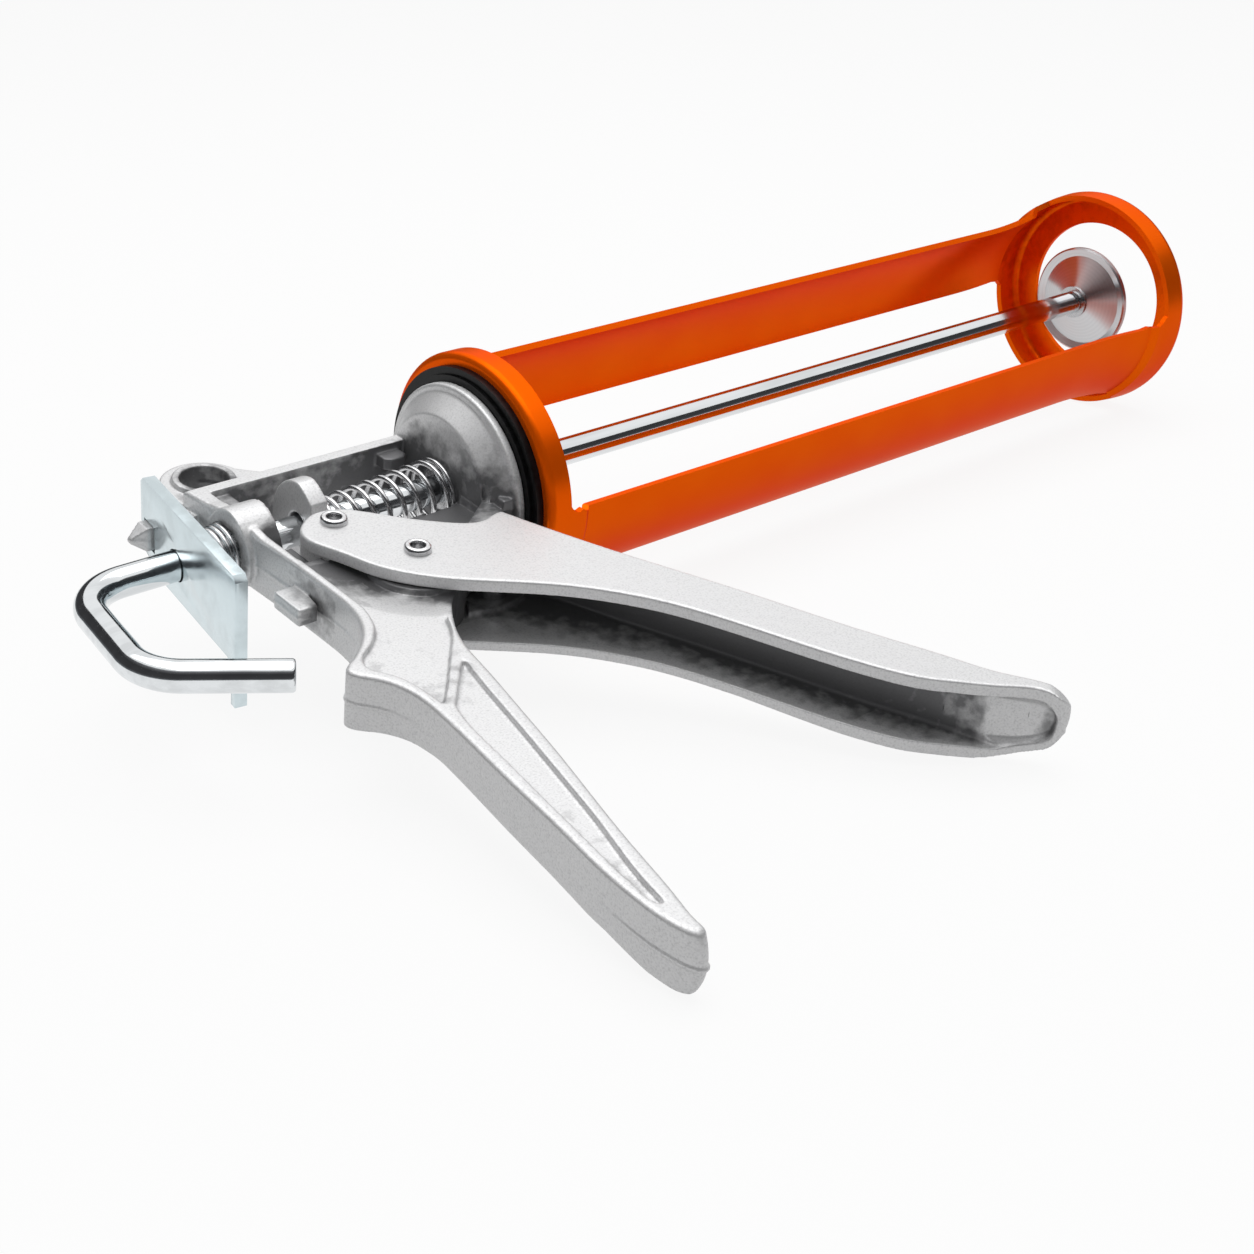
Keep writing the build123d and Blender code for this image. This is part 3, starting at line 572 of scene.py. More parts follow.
ROUND_ALONG = [(-147, 0), (-130, 1), (-78, 1), (-62, 0)]
BOSS_X = (-62.9, -54.5)
BOSS_FLANK = [(6.0, 1), (9.0, 0)]
BOSS_FOOT, BOSS_TOP, BOSS_TALL = 5, 8.2, 9.2
PIVOT_AT = Vector((-38.7, -32.4))
FIELD_SUNK = [(10.2, 0), (10.6, 1), (12.5, 1), (20.0, 0)]
FIELD_DEEP, FIELD_FROM_Y, FIELD_FROM_Z = 1.1, -22, 4
LUG_ROOT_X, LUG_Y, LUG_HALF = -60.8, (-27, -20.5), 2.6
LUG_FROM_Y, LUG_LONGER = -21.1, 1.8
RIM_X, RIM_Y, RIM_TOP = (-13, -8.35), (-27, -15.2), 4.35
WEB_X, WEB_END_Y, WEB_Z = (-30.5, -9.3), -7.9, (1.0, 2.4)
WEB_SLOPE, WEB_LOWER = 0.711, 1.6


def body_ridge(point):
    return between(PARTING_PROUD, point.y)


def shape_body(point):
    if point.z < 0 and point.y < HANDLE_FROM_Y:
        down = min(-point.z / RIM_HALF, 1)
        rear, front = between(HANDLE_REAR, point.y), between(HANDLE_FRONT, point.y)
        middle, half_wide = (rear + front) / 2, (front - rear) / 2
        inset = ROUND_BELOW * down ** 3 * between(ROUND_ALONG, point.y)
        point.x = middle + (point.x - middle) * (1 - min(inset / half_wide, ROUND_MOST))
        point.z += between(SLIMMER_BELOW, point.y) * down
    from_end = point.y - HANDLE_END_Y
    if from_end < BULGE_REACH:
        swell = max(1 - (point.z / RIM_HALF) ** 2, 0)
        point.y -= TIP_BULGE * swell * (1 - max(from_end, 0) / BULGE_REACH) ** 2
    if BOSS_X[0] < point.x < BOSS_X[1] and point.z > BOSS_FOOT:
        share = between(BOSS_FLANK, abs(point.y))
        point.z += share * (point.z - BOSS_FOOT) * (BOSS_TALL - BOSS_TOP) / (BOSS_TOP - BOSS_FOOT)
    if abs(point.z) > FIELD_FROM_Z and point.y < FIELD_FROM_Y:
        away = (Vector((point.x, point.y)) - PIVOT_AT).length
        point.z -= math.copysign(FIELD_DEEP * between(FIELD_SUNK, away), point.z)
    if point.x < LUG_ROOT_X and LUG_Y[0] < point.y < LUG_Y[1] and abs(point.z) < LUG_HALF:
        share = min((LUG_ROOT_X - point.x) / 0.4, 1)
        point.y += share * (point.y - LUG_FROM_Y) * (LUG_LONGER - 1)
    if RIM_X[0] < point.x < RIM_X[1] and RIM_Y[0] < point.y < RIM_Y[1] and point.z > RIM_TOP:
        point.z = RIM_TOP
    web_edge_y = -15 + (point.x + 8) * WEB_SLOPE + 0.5
    if WEB_X[0] < point.x < WEB_X[1] and web_edge_y < point.y < WEB_END_Y:
        if WEB_Z[0] < point.z < WEB_Z[1]:
            point.z -= WEB_LOWER


# %% Body casting
body_copy = copy_of("body_casting")
ridge = parting_ridge(body_copy, body_ridge, lambda at, out: at.y < -50 or out.x < -0.3)
body_mesh = cast_skin("body_casting_skin", body_copy, [ridge], VOXEL, 0.285, shape_body)

# %% [markdown]
# ## Trigger casting
# The squeezed end of the trigger is a spoon: its lower half is an ellipse, and its
# hollow runs almost to the end and is rounded too.  Both are cut with the Boolean
# modifier before the skin is wrapped.  The cutters are drawn in the trigger end's own
# axes, back from the tip along the lever, across it, and up.

# %% Trigger end
TRIGGER_HALF = 8.7
TIP = Vector((35.0, -140.9, 0))
ALONG = Vector((-0.709, 0.705, 0))
ACROSS = Vector((0.705, 0.709, 0))
SPOON = 20.0
HOLLOW_START, HOLLOW_ROUND, HOLLOW_HALF = 2.3, 13.5, 6.0
ROOF, ROOF_ROUND = 2.0, 3.5
FLOOR, FLOOR_SLOPE = 1.09, 0.125
FOOT_ROUND = 1.6
OUTSIDE, BELOW = 12.0, -14.0


def tip_point(back, across, up):
    return TIP + ALONG * back + ACROSS * across + Vector((0, 0, up))


def ellipse_share(back, length):
    return math.sqrt(max(1 - (1 - min(back / length, 1)) ** 2, 0))


def cut_away(name, mesh, cutters):
    """Mesh with the cutters' volumes taken out, each a list of closed rings."""
    holder = live_object(name, mesh)
    helpers = []
    for rings in cutters:
        work = bmesh.new()
        rows = [[work.verts.new(point) for point in ring] for ring in rings]
        for here, after in zip(rows, rows[1:]):
            for k in range(len(here)):
                n = (k + 1) % len(here)
                work.faces.new((here[k], here[n], after[n], after[k]))
        work.faces.new(rows[0][::-1])
        work.faces.new(rows[-1])
        bmesh.ops.recalc_face_normals(work, faces=work.faces)
        knife = live_object("knife", closed(work, bpy.data.meshes.new("knife")))
        helpers.append(knife)
        modify(holder, "BOOLEAN", operation="DIFFERENCE", solver="EXACT", object=knife)
    result = baked_mesh(holder, name)
    for knife in helpers:
        bpy.data.objects.remove(knife)
    return result


# %% Hollow of the spoon
spoon_hollow = []
for step in range(17):
    turn = math.radians(6 + 84 * step / 16)
    back = HOLLOW_START + HOLLOW_ROUND * (1 - math.cos(turn))
    low = -HOLLOW_HALF * math.sin(turn)
    high = ROOF + (HOLLOW_HALF - ROOF) * ellipse_share(back - HOLLOW_START, ROOF_ROUND)
    floor_at = FLOOR + (back - 3.0) * FLOOR_SLOPE
    soft = 0.5 * (floor_at + 0.6)
    spoon_hollow.append([
        tip_point(back, -7.0, low), tip_point(back, -7.0, high),
        tip_point(back, floor_at - soft, high), tip_point(back, floor_at, high - FOOT_ROUND),
        tip_point(back, floor_at, low + FOOT_ROUND * math.sin(turn)),
        tip_point(back, floor_at - soft, low)])

# %% Outside of the spoon
def trim_ring(back, edge):
    return [tip_point(back, -OUTSIDE, edge), tip_point(back, OUTSIDE, edge),
            tip_point(back, OUTSIDE, BELOW), tip_point(back, -OUTSIDE, BELOW)]


outer_trim = [trim_ring(-3.0, 0)]
for step in range(25):
    turn = math.radians(90 * step / 24)
    outer_trim.append(trim_ring(0.4 + SPOON * (1 - math.cos(turn)),
                                -TRIGGER_HALF * math.sin(turn)))
print("rings of the spoon's cutters:", len(spoon_hollow), len(outer_trim))

# %% Trigger casting
LOWER_CHEEK_THINNER = [(-110, 0), (-90, 0.8)]
CHEEK_FROM_Z = -5
TIP_SWELL, SWELL_REACH = 1.6, 7


def shape_trigger(point):
    if point.z < CHEEK_FROM_Z:
        thinner = between(LOWER_CHEEK_THINNER, point.y)
        point.z += thinner * (CHEEK_FROM_Z - point.z) / (TRIGGER_HALF + CHEEK_FROM_Z)
    back = (point - TIP).dot(ALONG)
    if back < SWELL_REACH:
        swell = max(1 - ((point.z - 3) / 6.0) ** 2, 0)
        shift = ALONG * -(TIP_SWELL * swell * (1 - max(back, 0) / SWELL_REACH) ** 2)
        point.x += shift.x
        point.y += shift.y


trigger_copy = copy_of("trigger")
ridge = parting_ridge(trigger_copy, lambda at: 0.2, lambda at, out: out.x > 0.2 and at.y < -60)
trigger_copy = cut_away("trigger_cut", trigger_copy, [spoon_hollow, outer_trim])
trigger_mesh = cast_skin("trigger_skin", trigger_copy, [ridge], VOXEL, 0.33, shape_trigger)
# These marks set where the castings get their painted shade.
mark_shade_depth(body_mesh, 64.0, [trigger_mesh])
mark_shade_depth(trigger_mesh, 16.0)
finished_piece("body_casting_skin", body_mesh, "body", cast_aluminium,
               ["body_casting"])
finished_piece("trigger_skin", trigger_mesh, "trigger", cast_aluminium,
               ["trigger"])

# %% [markdown]
# ## Driving dog
# The dog is sintered steel, with the same soft edges as a casting, so it gets the
# same treatment in a finer skin.  Its hole is a little taller than the rod, which
# lets it tilt and bite.

# %% Driving dog
DOG_VOXEL = 0.20
DOG_TALLER = 0.18
HOLE_R, HOLE_TALLER = 4.1, 0.8


def shape_dog(point):
    reach = math.hypot(point.y, point.z)
    if reach < HOLE_R and point.z > 0:
        point.z += HOLE_TALLER * point.z / reach
    elif point.z > 0:
        point.z *= 1 + DOG_TALLER * between([(-5, 0), (0, 1)], point.y)


dog_mesh = cast_skin("drive_dog_skin", copy_of("drive_dog"), [], DOG_VOXEL, 0.35, shape_dog)
mark_shade_depth(dog_mesh, 11.0)
finished_piece("drive_dog_skin", dog_mesh, "dog", cast_aluminium, ["drive_dog"])


# %% [markdown]
# ## The pressed frame
# The frame is one steel pressing: a collar, a cup and two strips between them.  Its
# middle surface is a surface of revolution with two windows cut out.  We lay out
# that surface as a grid of stations along the profile and angles round the axis,
# leave out the squares that lie in a window, and let Solidify give it the sheet's
# thickness and Bevel round its cut edges.  The strips step down out of the collar,
# rise gently over their last stretch, and step up into the cup.

# %% Frame profile
SHEET = 1.5
collar_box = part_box("rear_collar")
cup_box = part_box("front_cup")
COLLAR_R = round(collar_box[1].z / MM, 1)
COLLAR_DEPTH = round((collar_box[1].x - COLLAR_BACK) / MM, 2)
CUP_R = round(cup_box[1].z / MM, 1)
CUP_BACK = round((cup_box[0].x - COLLAR_BACK) / MM, 2)
CUP_FRONT = round((cup_box[1].x - COLLAR_BACK) / MM, 2)
HUB_HOLE_R = 14.1
OPENING_R = 21.6
RAIL_MID_R = 26.15
RAIL_HALF = 26.2
RAIL_TURN = 20.9
RAIL_RISE = 1.75
print("collar", COLLAR_R, COLLAR_DEPTH, "cup", CUP_R, CUP_BACK, CUP_FRONT)


def arc(centre, radius, start, end, steps):
    """Points (x, r) on a quarter bend of the profile."""
    points = []
    for k in range(steps + 1):
        angle = math.radians(start + (end - start) * k / steps)
        points.append((centre[0] + radius * math.sin(angle), centre[1] + radius * math.cos(angle)))
    return points


def s_bend(start, end, steps):
    """Smooth step between two (x, r) points."""
    points = []
    for k in range(1, steps):
        t = k / steps
        lift = t * t * (3 - 2 * t)
        points.append((start[0] + (end[0] - start[0]) * t, start[1] + (end[1] - start[1]) * lift))
    return points


half = SHEET / 2
collar_mid_r = COLLAR_R - half
cup_mid_r = CUP_R - half
COLLAR_STEP = COLLAR_DEPTH + 4.2
CUP_STEP = CUP_BACK - 3.2
STEP_LONG = 2.4
CUP_CORNER = 2.8
corner = 0.75
profile = [(half, HUB_HOLE_R), (half, 18.0), (half, 24.0), (half, collar_mid_r - corner - 0.3)]
profile += arc((half + corner, collar_mid_r - corner), corner, -90, 0, 5)
profile += [(half + corner + 0.3, collar_mid_r), (3.0, collar_mid_r), (4.4, collar_mid_r)]
profile += [(COLLAR_DEPTH + 0.6 * k, collar_mid_r - 0.02 * k) for k in range(7)]
profile += [(COLLAR_STEP, collar_mid_r - 0.15)]
profile += s_bend((COLLAR_STEP, collar_mid_r - 0.15), (COLLAR_STEP + STEP_LONG, RAIL_MID_R), 7)
profile += [(COLLAR_STEP + STEP_LONG + 0.5 * k, RAIL_MID_R) for k in range(5)]
profile += [(20.0 + 20.0 * k, RAIL_MID_R) for k in range(10)]
profile += [(CUP_STEP - 24.0 + 2.75 * k, RAIL_MID_R + 0.026 * k * k) for k in range(9)]
profile += s_bend((CUP_STEP - 1.2, RAIL_MID_R + RAIL_RISE), (CUP_STEP + 0.9, cup_mid_r - 0.7), 8)
profile += [(CUP_STEP + 0.9, cup_mid_r - 0.7), (CUP_BACK - 1.2, cup_mid_r - 0.6),
            (CUP_BACK - 0.4, cup_mid_r - 0.5), (CUP_BACK + 0.5, cup_mid_r - 0.4),
            (CUP_BACK + 3.0, cup_mid_r - 0.15)]
profile += arc((CUP_FRONT - half - CUP_CORNER, cup_mid_r - CUP_CORNER), CUP_CORNER, 0, 90, 7)
profile += [(CUP_FRONT - half, 25.0), (CUP_FRONT - half, OPENING_R)]
print("profile stations:", len(profile))


# %% [markdown]
# ### Edges of the strips
# The press leaves a corner at each end of a strip: its edge flares into the ring,
# with a small lump or notch on the way where the sheet was drawn.  We let the angles
# of the grid follow that edge, so the mesh lines run along it.

# %% Frame sheet
LUMPS = ((COLLAR_DEPTH + 3.4, 1.3, 0.6), (COLLAR_DEPTH + 5.2, -1.0, 0.7),
         (CUP_BACK - 5.6, 1.1, 0.7))
STRIP_STEPS, WINDOW_STEPS = 20, 48


def strip_edge(x):
    """Half angle of a strip at x, in degrees."""
    flare = 4.0 * math.exp(-max(x - COLLAR_DEPTH, 0) / 1.0)
    flare += 6.0 * math.exp(-max(CUP_BACK - x, 0) / 1.5)
    for lump, size, wide in LUMPS:
        flare += size * math.exp(-((x - lump) / wide) ** 2)
    return RAIL_HALF + flare


angles = []
for side in (0, 180):
    for k in range(STRIP_STEPS + 1):
        angles.append(("strip", side, k / STRIP_STEPS))
    for k in range(1, WINDOW_STEPS):
        angles.append(("window", side, k / WINDOW_STEPS))


def angle_at(kind, side, share, x):
    """Angle of a grid line at x, a share of the way over its strip or window."""
    edge = strip_edge(x)
    if kind == "strip":
        return RAIL_TURN + side - edge + 2 * edge * share
    return RAIL_TURN + side + edge + (180 - 2 * edge) * share


first_window = next(k for k, p in enumerate(profile) if p[0] >= COLLAR_DEPTH - 0.01 and k > 5)
last_window = next(k for k, p in enumerate(profile) if p[0] >= CUP_BACK + 0.4)
sheet = bmesh.new()
grid = []
for x, radius in profile:
    row = []
    for kind, side, share in angles:
        turn = math.radians(angle_at(kind, side, share, x))
        row.append(sheet.verts.new((x, radius * math.cos(turn), radius * math.sin(turn))))
    grid.append(row)
count = len(angles)
for k in range(len(profile) - 1):
    in_window = first_window <= k < last_window
    for m in range(count):
        after = (m + 1) % count
        is_strip = angles[m][0] == "strip" and angles[m][2] < 1.0
        if in_window and not is_strip:
            continue
        sheet.faces.new((grid[k][m], grid[k][after], grid[k + 1][after], grid[k + 1][m]))
bmesh.ops.delete(sheet, geom=[v for v in sheet.verts if not v.link_faces], context="VERTS")
bmesh.ops.recalc_face_normals(sheet, faces=sheet.faces)
frame_mesh = closed(sheet, bpy.data.meshes.new("frame_sheet"))
frame_mesh.shade_smooth()
frame_holder = live_object("frame_sheet", frame_mesh)
modify(frame_holder, "SOLIDIFY", thickness=SHEET, offset=0.0, use_even_offset=True)
modify(frame_holder, "BEVEL", width=0.4, segments=3, limit_method="ANGLE",
       angle_limit=math.radians(50))
modify(frame_holder, "WEIGHTED_NORMAL", weight=80)
frame_mesh = baked_mesh(frame_holder, "frame_pressing")
mark_shade_depth(frame_mesh, 60.0)
finished_piece("frame_pressing", frame_mesh, "cradle", orange_paint,
               ["rear_collar", "rail_far", "rail_near", "front_cup"])


# %% [markdown]
# ## Parts that follow a path
# The push rod is bent from one bar, and both springs are wound wire.  Geometry
# Nodes draw them from a path: the bar's path is a polyline with filleted corners,
# and a spring's path is worked out point by point from its turn count, so the end
# coils can lie closed against each other as they do on real springs.

# %% Node helpers
def new_tree(name, inputs):
    """Empty node tree with a named input for each size."""
    tree = bpy.data.node_groups.new(name, "GeometryNodeTree")
    tree.interface.new_socket("Geometry", in_out="OUTPUT", socket_type="NodeSocketGeometry")
    tree.interface.new_socket("Geometry", in_out="INPUT", socket_type="NodeSocketGeometry")
    for label, kind in inputs:
        tree.interface.new_socket(label, in_out="INPUT", socket_type="NodeSocket" + kind)
    start = tree.nodes.new("NodeGroupInput")
    end = tree.nodes.new("NodeGroupOutput")
    return tree, start, end


def close_tree(tree, end, geometry, material):
    """Real geometry in its finish, at the tree's output."""
    real = node(tree, "GeometryNodeRealizeInstances", [("Geometry", geometry)])
    paint = node(tree, "GeometryNodeSetMaterial", [
        ("Geometry", real.outputs[0]), ("Material", material)])
    join(tree, end, [(0, paint.outputs[0])])


def run_tree(name, tree, mesh, values):
    """Mesh of the tree on `mesh`, with the values given to its named inputs."""
    holder = live_object(name, mesh)
    modifier = modify(holder, "NODES", node_group=tree)
    for item in tree.interface.items_tree:
        if item.item_type == "SOCKET" and item.in_out == "INPUT" and item.name in values:
            modifier[item.identifier] = values[item.name]
    return baked_mesh(holder, name)


# %% Spring tree
COIL_PITCH = 2.06


def spring_tree(name, material):
    """Wire wound between two places, with one closed turn at each end."""
    tree, start, end = new_tree(name, [
        ("From", "Float"), ("To", "Float"), ("Back Radius", "Float"), ("Front Radius", "Float"),
        ("Wire Radius", "Float"), ("Turns", "Float"), ("Steps", "Int")])
    line = node(tree, "GeometryNodeCurvePrimitiveLine", [("Start", (0, 0, 0)), ("End", (1, 0, 0))])
    path = node(tree, "GeometryNodeResampleCurve", [
        ("Curve", line.outputs[0]), ("Count", start.outputs["Steps"])])
    along = node(tree, "GeometryNodeSplineParameter").outputs["Factor"]
    turned = math_node(tree, "MULTIPLY", along, start.outputs["Turns"])
    angle = math_node(tree, "MULTIPLY", turned, math.tau)
    wire_d = math_node(tree, "MULTIPLY", start.outputs["Wire Radius"], COIL_PITCH)
    wound = math_node(tree, "MULTIPLY", turned, wire_d)
    closed_length = math_node(tree, "MULTIPLY", start.outputs["Turns"], wire_d)
    room = math_node(tree, "SUBTRACT", start.outputs["To"], start.outputs["From"])
    room = math_node(tree, "SUBTRACT", room, wire_d)
    spare = math_node(tree, "SUBTRACT", room, closed_length)
    end_share = math_node(tree, "DIVIDE", 1.0, start.outputs["Turns"])
    spread = node(tree, "ShaderNodeMapRange", [
        ("Value", along), ("From Min", end_share),
        ("From Max", math_node(tree, "SUBTRACT", 1.0, end_share))])
    open_part = math_node(tree, "MULTIPLY", spread.outputs[0], spare)
    x = math_node(tree, "ADD", math_node(tree, "ADD", wound, open_part),
                  math_node(tree, "ADD", start.outputs["From"], start.outputs["Wire Radius"]))
    radius = node(tree, "ShaderNodeMapRange", [
        ("Value", along), ("To Min", start.outputs["Back Radius"]),
        ("To Max", start.outputs["Front Radius"])]).outputs[0]
    y = math_node(tree, "MULTIPLY", radius, math_node(tree, "COSINE", angle))
    z = math_node(tree, "MULTIPLY", radius, math_node(tree, "SINE", angle))
    place = node(tree, "ShaderNodeCombineXYZ", [("X", x), ("Y", y), ("Z", z)])
    coil = node(tree, "GeometryNodeSetPosition", [
        ("Geometry", path.outputs[0]), ("Position", place.outputs[0])])
    wire = node(tree, "GeometryNodeCurvePrimitiveCircle", [
        ("Resolution", 14), ("Radius", start.outputs["Wire Radius"])])
    tube = node(tree, "GeometryNodeCurveToMesh", [
        ("Curve", coil.outputs[0]), ("Profile Curve", wire.outputs[0]), ("Fill Caps", True)])
    close_tree(tree, end, tube.outputs[0], material)
    return tree


# %% Both springs
def spring_piece(name, node_name, values):
    """Spring that stands on the body."""
    mesh = run_tree(name, spring_tree(name + "_tree", spring_steel),
                    bpy.data.meshes.new(name), values)
    mesh.shade_smooth()
    piece = finished_piece(name, mesh, "body", spring_steel, [node_name])
    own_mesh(piece)


def gun_span(node_name):
    """Back and front of a CAD part along the gun."""
    low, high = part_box(node_name)
    return (low.x - COLLAR_BACK) / MM, (high.x - COLLAR_BACK) / MM


span = gun_span("drive_spring")
spring_piece("drive_spring_coils", "drive_spring", {
    "From": span[0], "To": span[1], "Back Radius": 4.8, "Front Radius": 7.0,
    "Wire Radius": 0.60, "Turns": 9.5, "Steps": 420})
span = gun_span("release_spring")
spring_piece("release_spring_coils", "release_spring", {
    "From": span[0], "To": span[1], "Back Radius": 4.7, "Front Radius": 6.0,
    "Wire Radius": 0.5, "Turns": 6.2, "Steps": 260})

# %% [markdown]
# ## Push rod
# One bar of bright drawn steel, bent twice into a pull hook that leans two degrees
# about the bar.  The path is a polyline, and Fillet Curve rounds its corners to the
# bending radius.  The bar ends at the shoulder that the disc's washer sits against.

# %% Push rod
rod_tree, start, end = new_tree("rod_tree", [("Bar Radius", "Float"), ("Bend Radius", "Float")])
path = node(rod_tree, "GeometryNodeMeshToCurve", [("Mesh", start.outputs["Geometry"])])
bends = node(rod_tree, "GeometryNodeFilletCurve", [
    ("Curve", path.outputs[0]), ("Radius", start.outputs["Bend Radius"]), ("Count", 24)],
    mode="POLY")
bar = node(rod_tree, "GeometryNodeCurvePrimitiveCircle", [
    ("Resolution", 64), ("Radius", start.outputs["Bar Radius"])])
tube = node(rod_tree, "GeometryNodeCurveToMesh", [
    ("Curve", bends.outputs[0]), ("Profile Curve", bar.outputs[0]), ("Fill Caps", True)])
close_tree(rod_tree, end, tube.outputs[0], chrome)

ROD_R = 3.25
SHOULDER_X = gun_span("collar_washer")[0]
HOOK_TURN = math.radians(2.0)
hook = [(SHOULDER_X, 0), (-97.1, 0), (-101.5, -33.5), (-78.6, -48.7)]
rod_line = bpy.data.meshes.new("rod_line")
rod_line.from_pydata([(x, y * math.cos(HOOK_TURN), -y * math.sin(HOOK_TURN)) for x, y in hook],
                     [(0, 1), (1, 2), (2, 3)], [])
rod_mesh = run_tree("push_rod_bar", rod_tree, rod_line, {"Bar Radius": ROD_R, "Bend Radius": 11.5})
work = opened(rod_mesh)
ends = [f for f in work.faces if len(f.verts) > 8]
bmesh.ops.bevel(work, geom=[e for f in ends for e in f.edges], offset=0.9, segments=4,
                affect="EDGES", profile=0.6)
closed(work, rod_mesh)
rod_mesh.shade_smooth()
rod_mesh.set_sharp_from_angle(angle=math.radians(35))
print("rod ends bevelled:", len(ends))


# %% [markdown]
# ## Turned and pressed small parts
# Discs, washers, bushes and rings are all a profile spun round an axis.  `spun`
# does that for a list of (along, radius) points, and a Bevel rounds the corners.

# %% Spin a profile
def rounded(name, mesh, width, segments, sharpest):
    """Mesh with every corner rounded that turns by more than `sharpest` degrees."""
    holder = live_object(name, mesh)
    modify(holder, "BEVEL", width=width, segments=segments, limit_method="ANGLE",
           angle_limit=math.radians(sharpest))
    return baked_mesh(holder, name)


def spun(name, points, steps, width):
    """Mesh of a profile spun round X; its corners are bevelled if `width` isn't 0."""
    work = bmesh.new()
    rows = []
    for k in range(steps):
        turn = math.tau * k / steps
        rows.append([work.verts.new((x, r * math.cos(turn), r * math.sin(turn)))
                     for x, r in points])
    for k in range(steps):
        here, after = rows[k], rows[(k + 1) % steps]
        for m in range(len(points)):
            n = (m + 1) % len(points)
            if points[m][1] or points[n][1]:
                work.faces.new((here[m], here[n], after[n], after[m]))
    bmesh.ops.remove_doubles(work, verts=work.verts, dist=0.0005)
    bmesh.ops.recalc_face_normals(work, faces=work.faces)
    mesh = closed(work, bpy.data.meshes.new(name))
    if width:
        mesh = rounded(name, mesh, width, 2, 25)
    mesh.shade_smooth()
    mesh.set_sharp_from_angle(angle=math.radians(40))
    return mesh


# %% [markdown]
# ### Crisp parts
# The release plate is a pressed blank and the nut a plain hexagon.  Their form is
# right in the CAD already, so we only merge its triangles into plain faces again
# and round the edges a little.

# %% Crisp machined parts straight from the CAD
def crisp(name, node_name, body, material, width):
    """Piece made from a CAD part, with its edges rounded by `width`."""
    mesh = copy_of(node_name)
    work = opened(mesh)
    bmesh.ops.dissolve_limit(work, angle_limit=math.radians(0.6), verts=work.verts,
                             edges=work.edges)
    mesh = rounded(name, closed(work, mesh), width, 3, 30)
    mesh.shade_smooth()
    mesh.set_sharp_from_angle(angle=math.radians(32))
    finished_piece(name, mesh, body, material, [node_name])


finished_piece("push_rod_bar", rod_mesh, "rod", chrome, ["push_rod"])
crisp("release_plate_blank", "release_plate", "release", zinc_plate, 0.3)
crisp("end_nut_hex", "end_nut", "rod", steel, 0.2)

# %% [markdown]
# ## Rivets and the stop pin
# Both rivets are semi-tubular: a bright ring of a head round a hollow in painted shade.
# One rivet is turned from its profile, and a small node tree sets a copy of it on
# every point it is given, so a third rivet would only be a third point.  The pin
# that stops the trigger wears a bright steel sleeve, which is one more spun profile.

# %% Rivet profile
RIVET_R = 2.05
RIVET_HEAD_R = 2.85
CHEEK_FACE = TRIGGER_HALF + 0.02
HEAD_TOP = TRIGGER_HALF + 1.3
rivet_profile = [
    (-TRIGGER_HALF - 1.1, 0), (-TRIGGER_HALF - 1.1, 3.1), (-TRIGGER_HALF - 0.7, 3.6),
    (-CHEEK_FACE, 3.65), (-CHEEK_FACE, RIVET_R), (CHEEK_FACE, RIVET_R),
    (CHEEK_FACE, RIVET_HEAD_R), (HEAD_TOP - 0.75, RIVET_HEAD_R),
    (HEAD_TOP - 0.30, RIVET_HEAD_R - 0.13), (HEAD_TOP - 0.05, RIVET_HEAD_R - 0.42),
    (HEAD_TOP, 2.20), (HEAD_TOP - 0.02, 1.80), (HEAD_TOP - 0.15, 1.60), (HEAD_TOP - 0.40, 1.52),
    (HEAD_TOP - 0.9, 1.48), (HEAD_TOP - 1.6, 1.46), (HEAD_TOP - 2.5, 1.45), (HEAD_TOP - 2.6, 1.35),
    (HEAD_TOP - 2.6, 0.7), (HEAD_TOP - 2.6, 0)]
rivet_mesh = spun("rivet", rivet_profile, steps=72, width=0)
rivet_mesh.transform(Matrix.Rotation(math.radians(-90), 4, "Y"))

# %% Rivet tree
rivet_tree, start, end = new_tree("rivet_tree", [("Rivet", "Object"), ("Size", "Float")])
places = node(rivet_tree, "GeometryNodeMeshToPoints", [("Mesh", start.outputs["Geometry"])])
one = node(rivet_tree, "GeometryNodeObjectInfo", [("Object", start.outputs["Rivet"])])
copies = node(rivet_tree, "GeometryNodeInstanceOnPoints", [
    ("Points", places.outputs[0]), ("Instance", one.outputs["Geometry"]),
    ("Scale", start.outputs["Size"])])
close_tree(rivet_tree, end, copies.outputs[0], bright_steel)


def axis_point(node_name):
    """Place of a rivet on the gun's middle plane, from the box of its CAD part."""
    low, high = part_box(node_name)
    middle = GUN.inverted() @ ((Vector(low) + Vector(high)) / 2)
    return (middle.x, middle.y, 0)


rivet_points = bpy.data.meshes.new("rivet_points")
rivet_points.from_pydata([axis_point("pivot_rivet"), axis_point("drive_rivet")], [], [])
rivet_holder = live_object("rivet_pattern", rivet_mesh)
rivets = run_tree("rivet_pair", rivet_tree, rivet_points, {"Rivet": rivet_holder, "Size": 1.0})
bpy.data.objects.remove(rivet_holder)
mark_shade_depth(rivets, 8.0)
rivets.shade_smooth()
rivets.set_sharp_from_angle(angle=math.radians(50))
finished_piece("rivet_pair", rivets, "trigger", bright_steel,
               ["pivot_rivet", "drive_rivet"])

# %% Stop pin sleeve
STOP_PIN = (-22.0, -36.4)
sleeve = spun("stop_pin_sleeve", [(-4.6, 2.86), (-4.6, 3.1), (5.8, 3.1), (5.8, 2.86)],
              steps=64, width=0.1)
sleeve.transform(Matrix.Translation((STOP_PIN[0], STOP_PIN[1], 0))
                 @ Matrix.Rotation(math.radians(-90), 4, "Y"))
finished_piece("stop_pin_sleeve", sleeve, "trigger", bright_steel)

# %% [markdown]
# ## Parts that keep their shape
# Bushes, washers, sleeves, the clip, the disc and the seal ring are right as the CAD
# drew them.  They only need their finish.

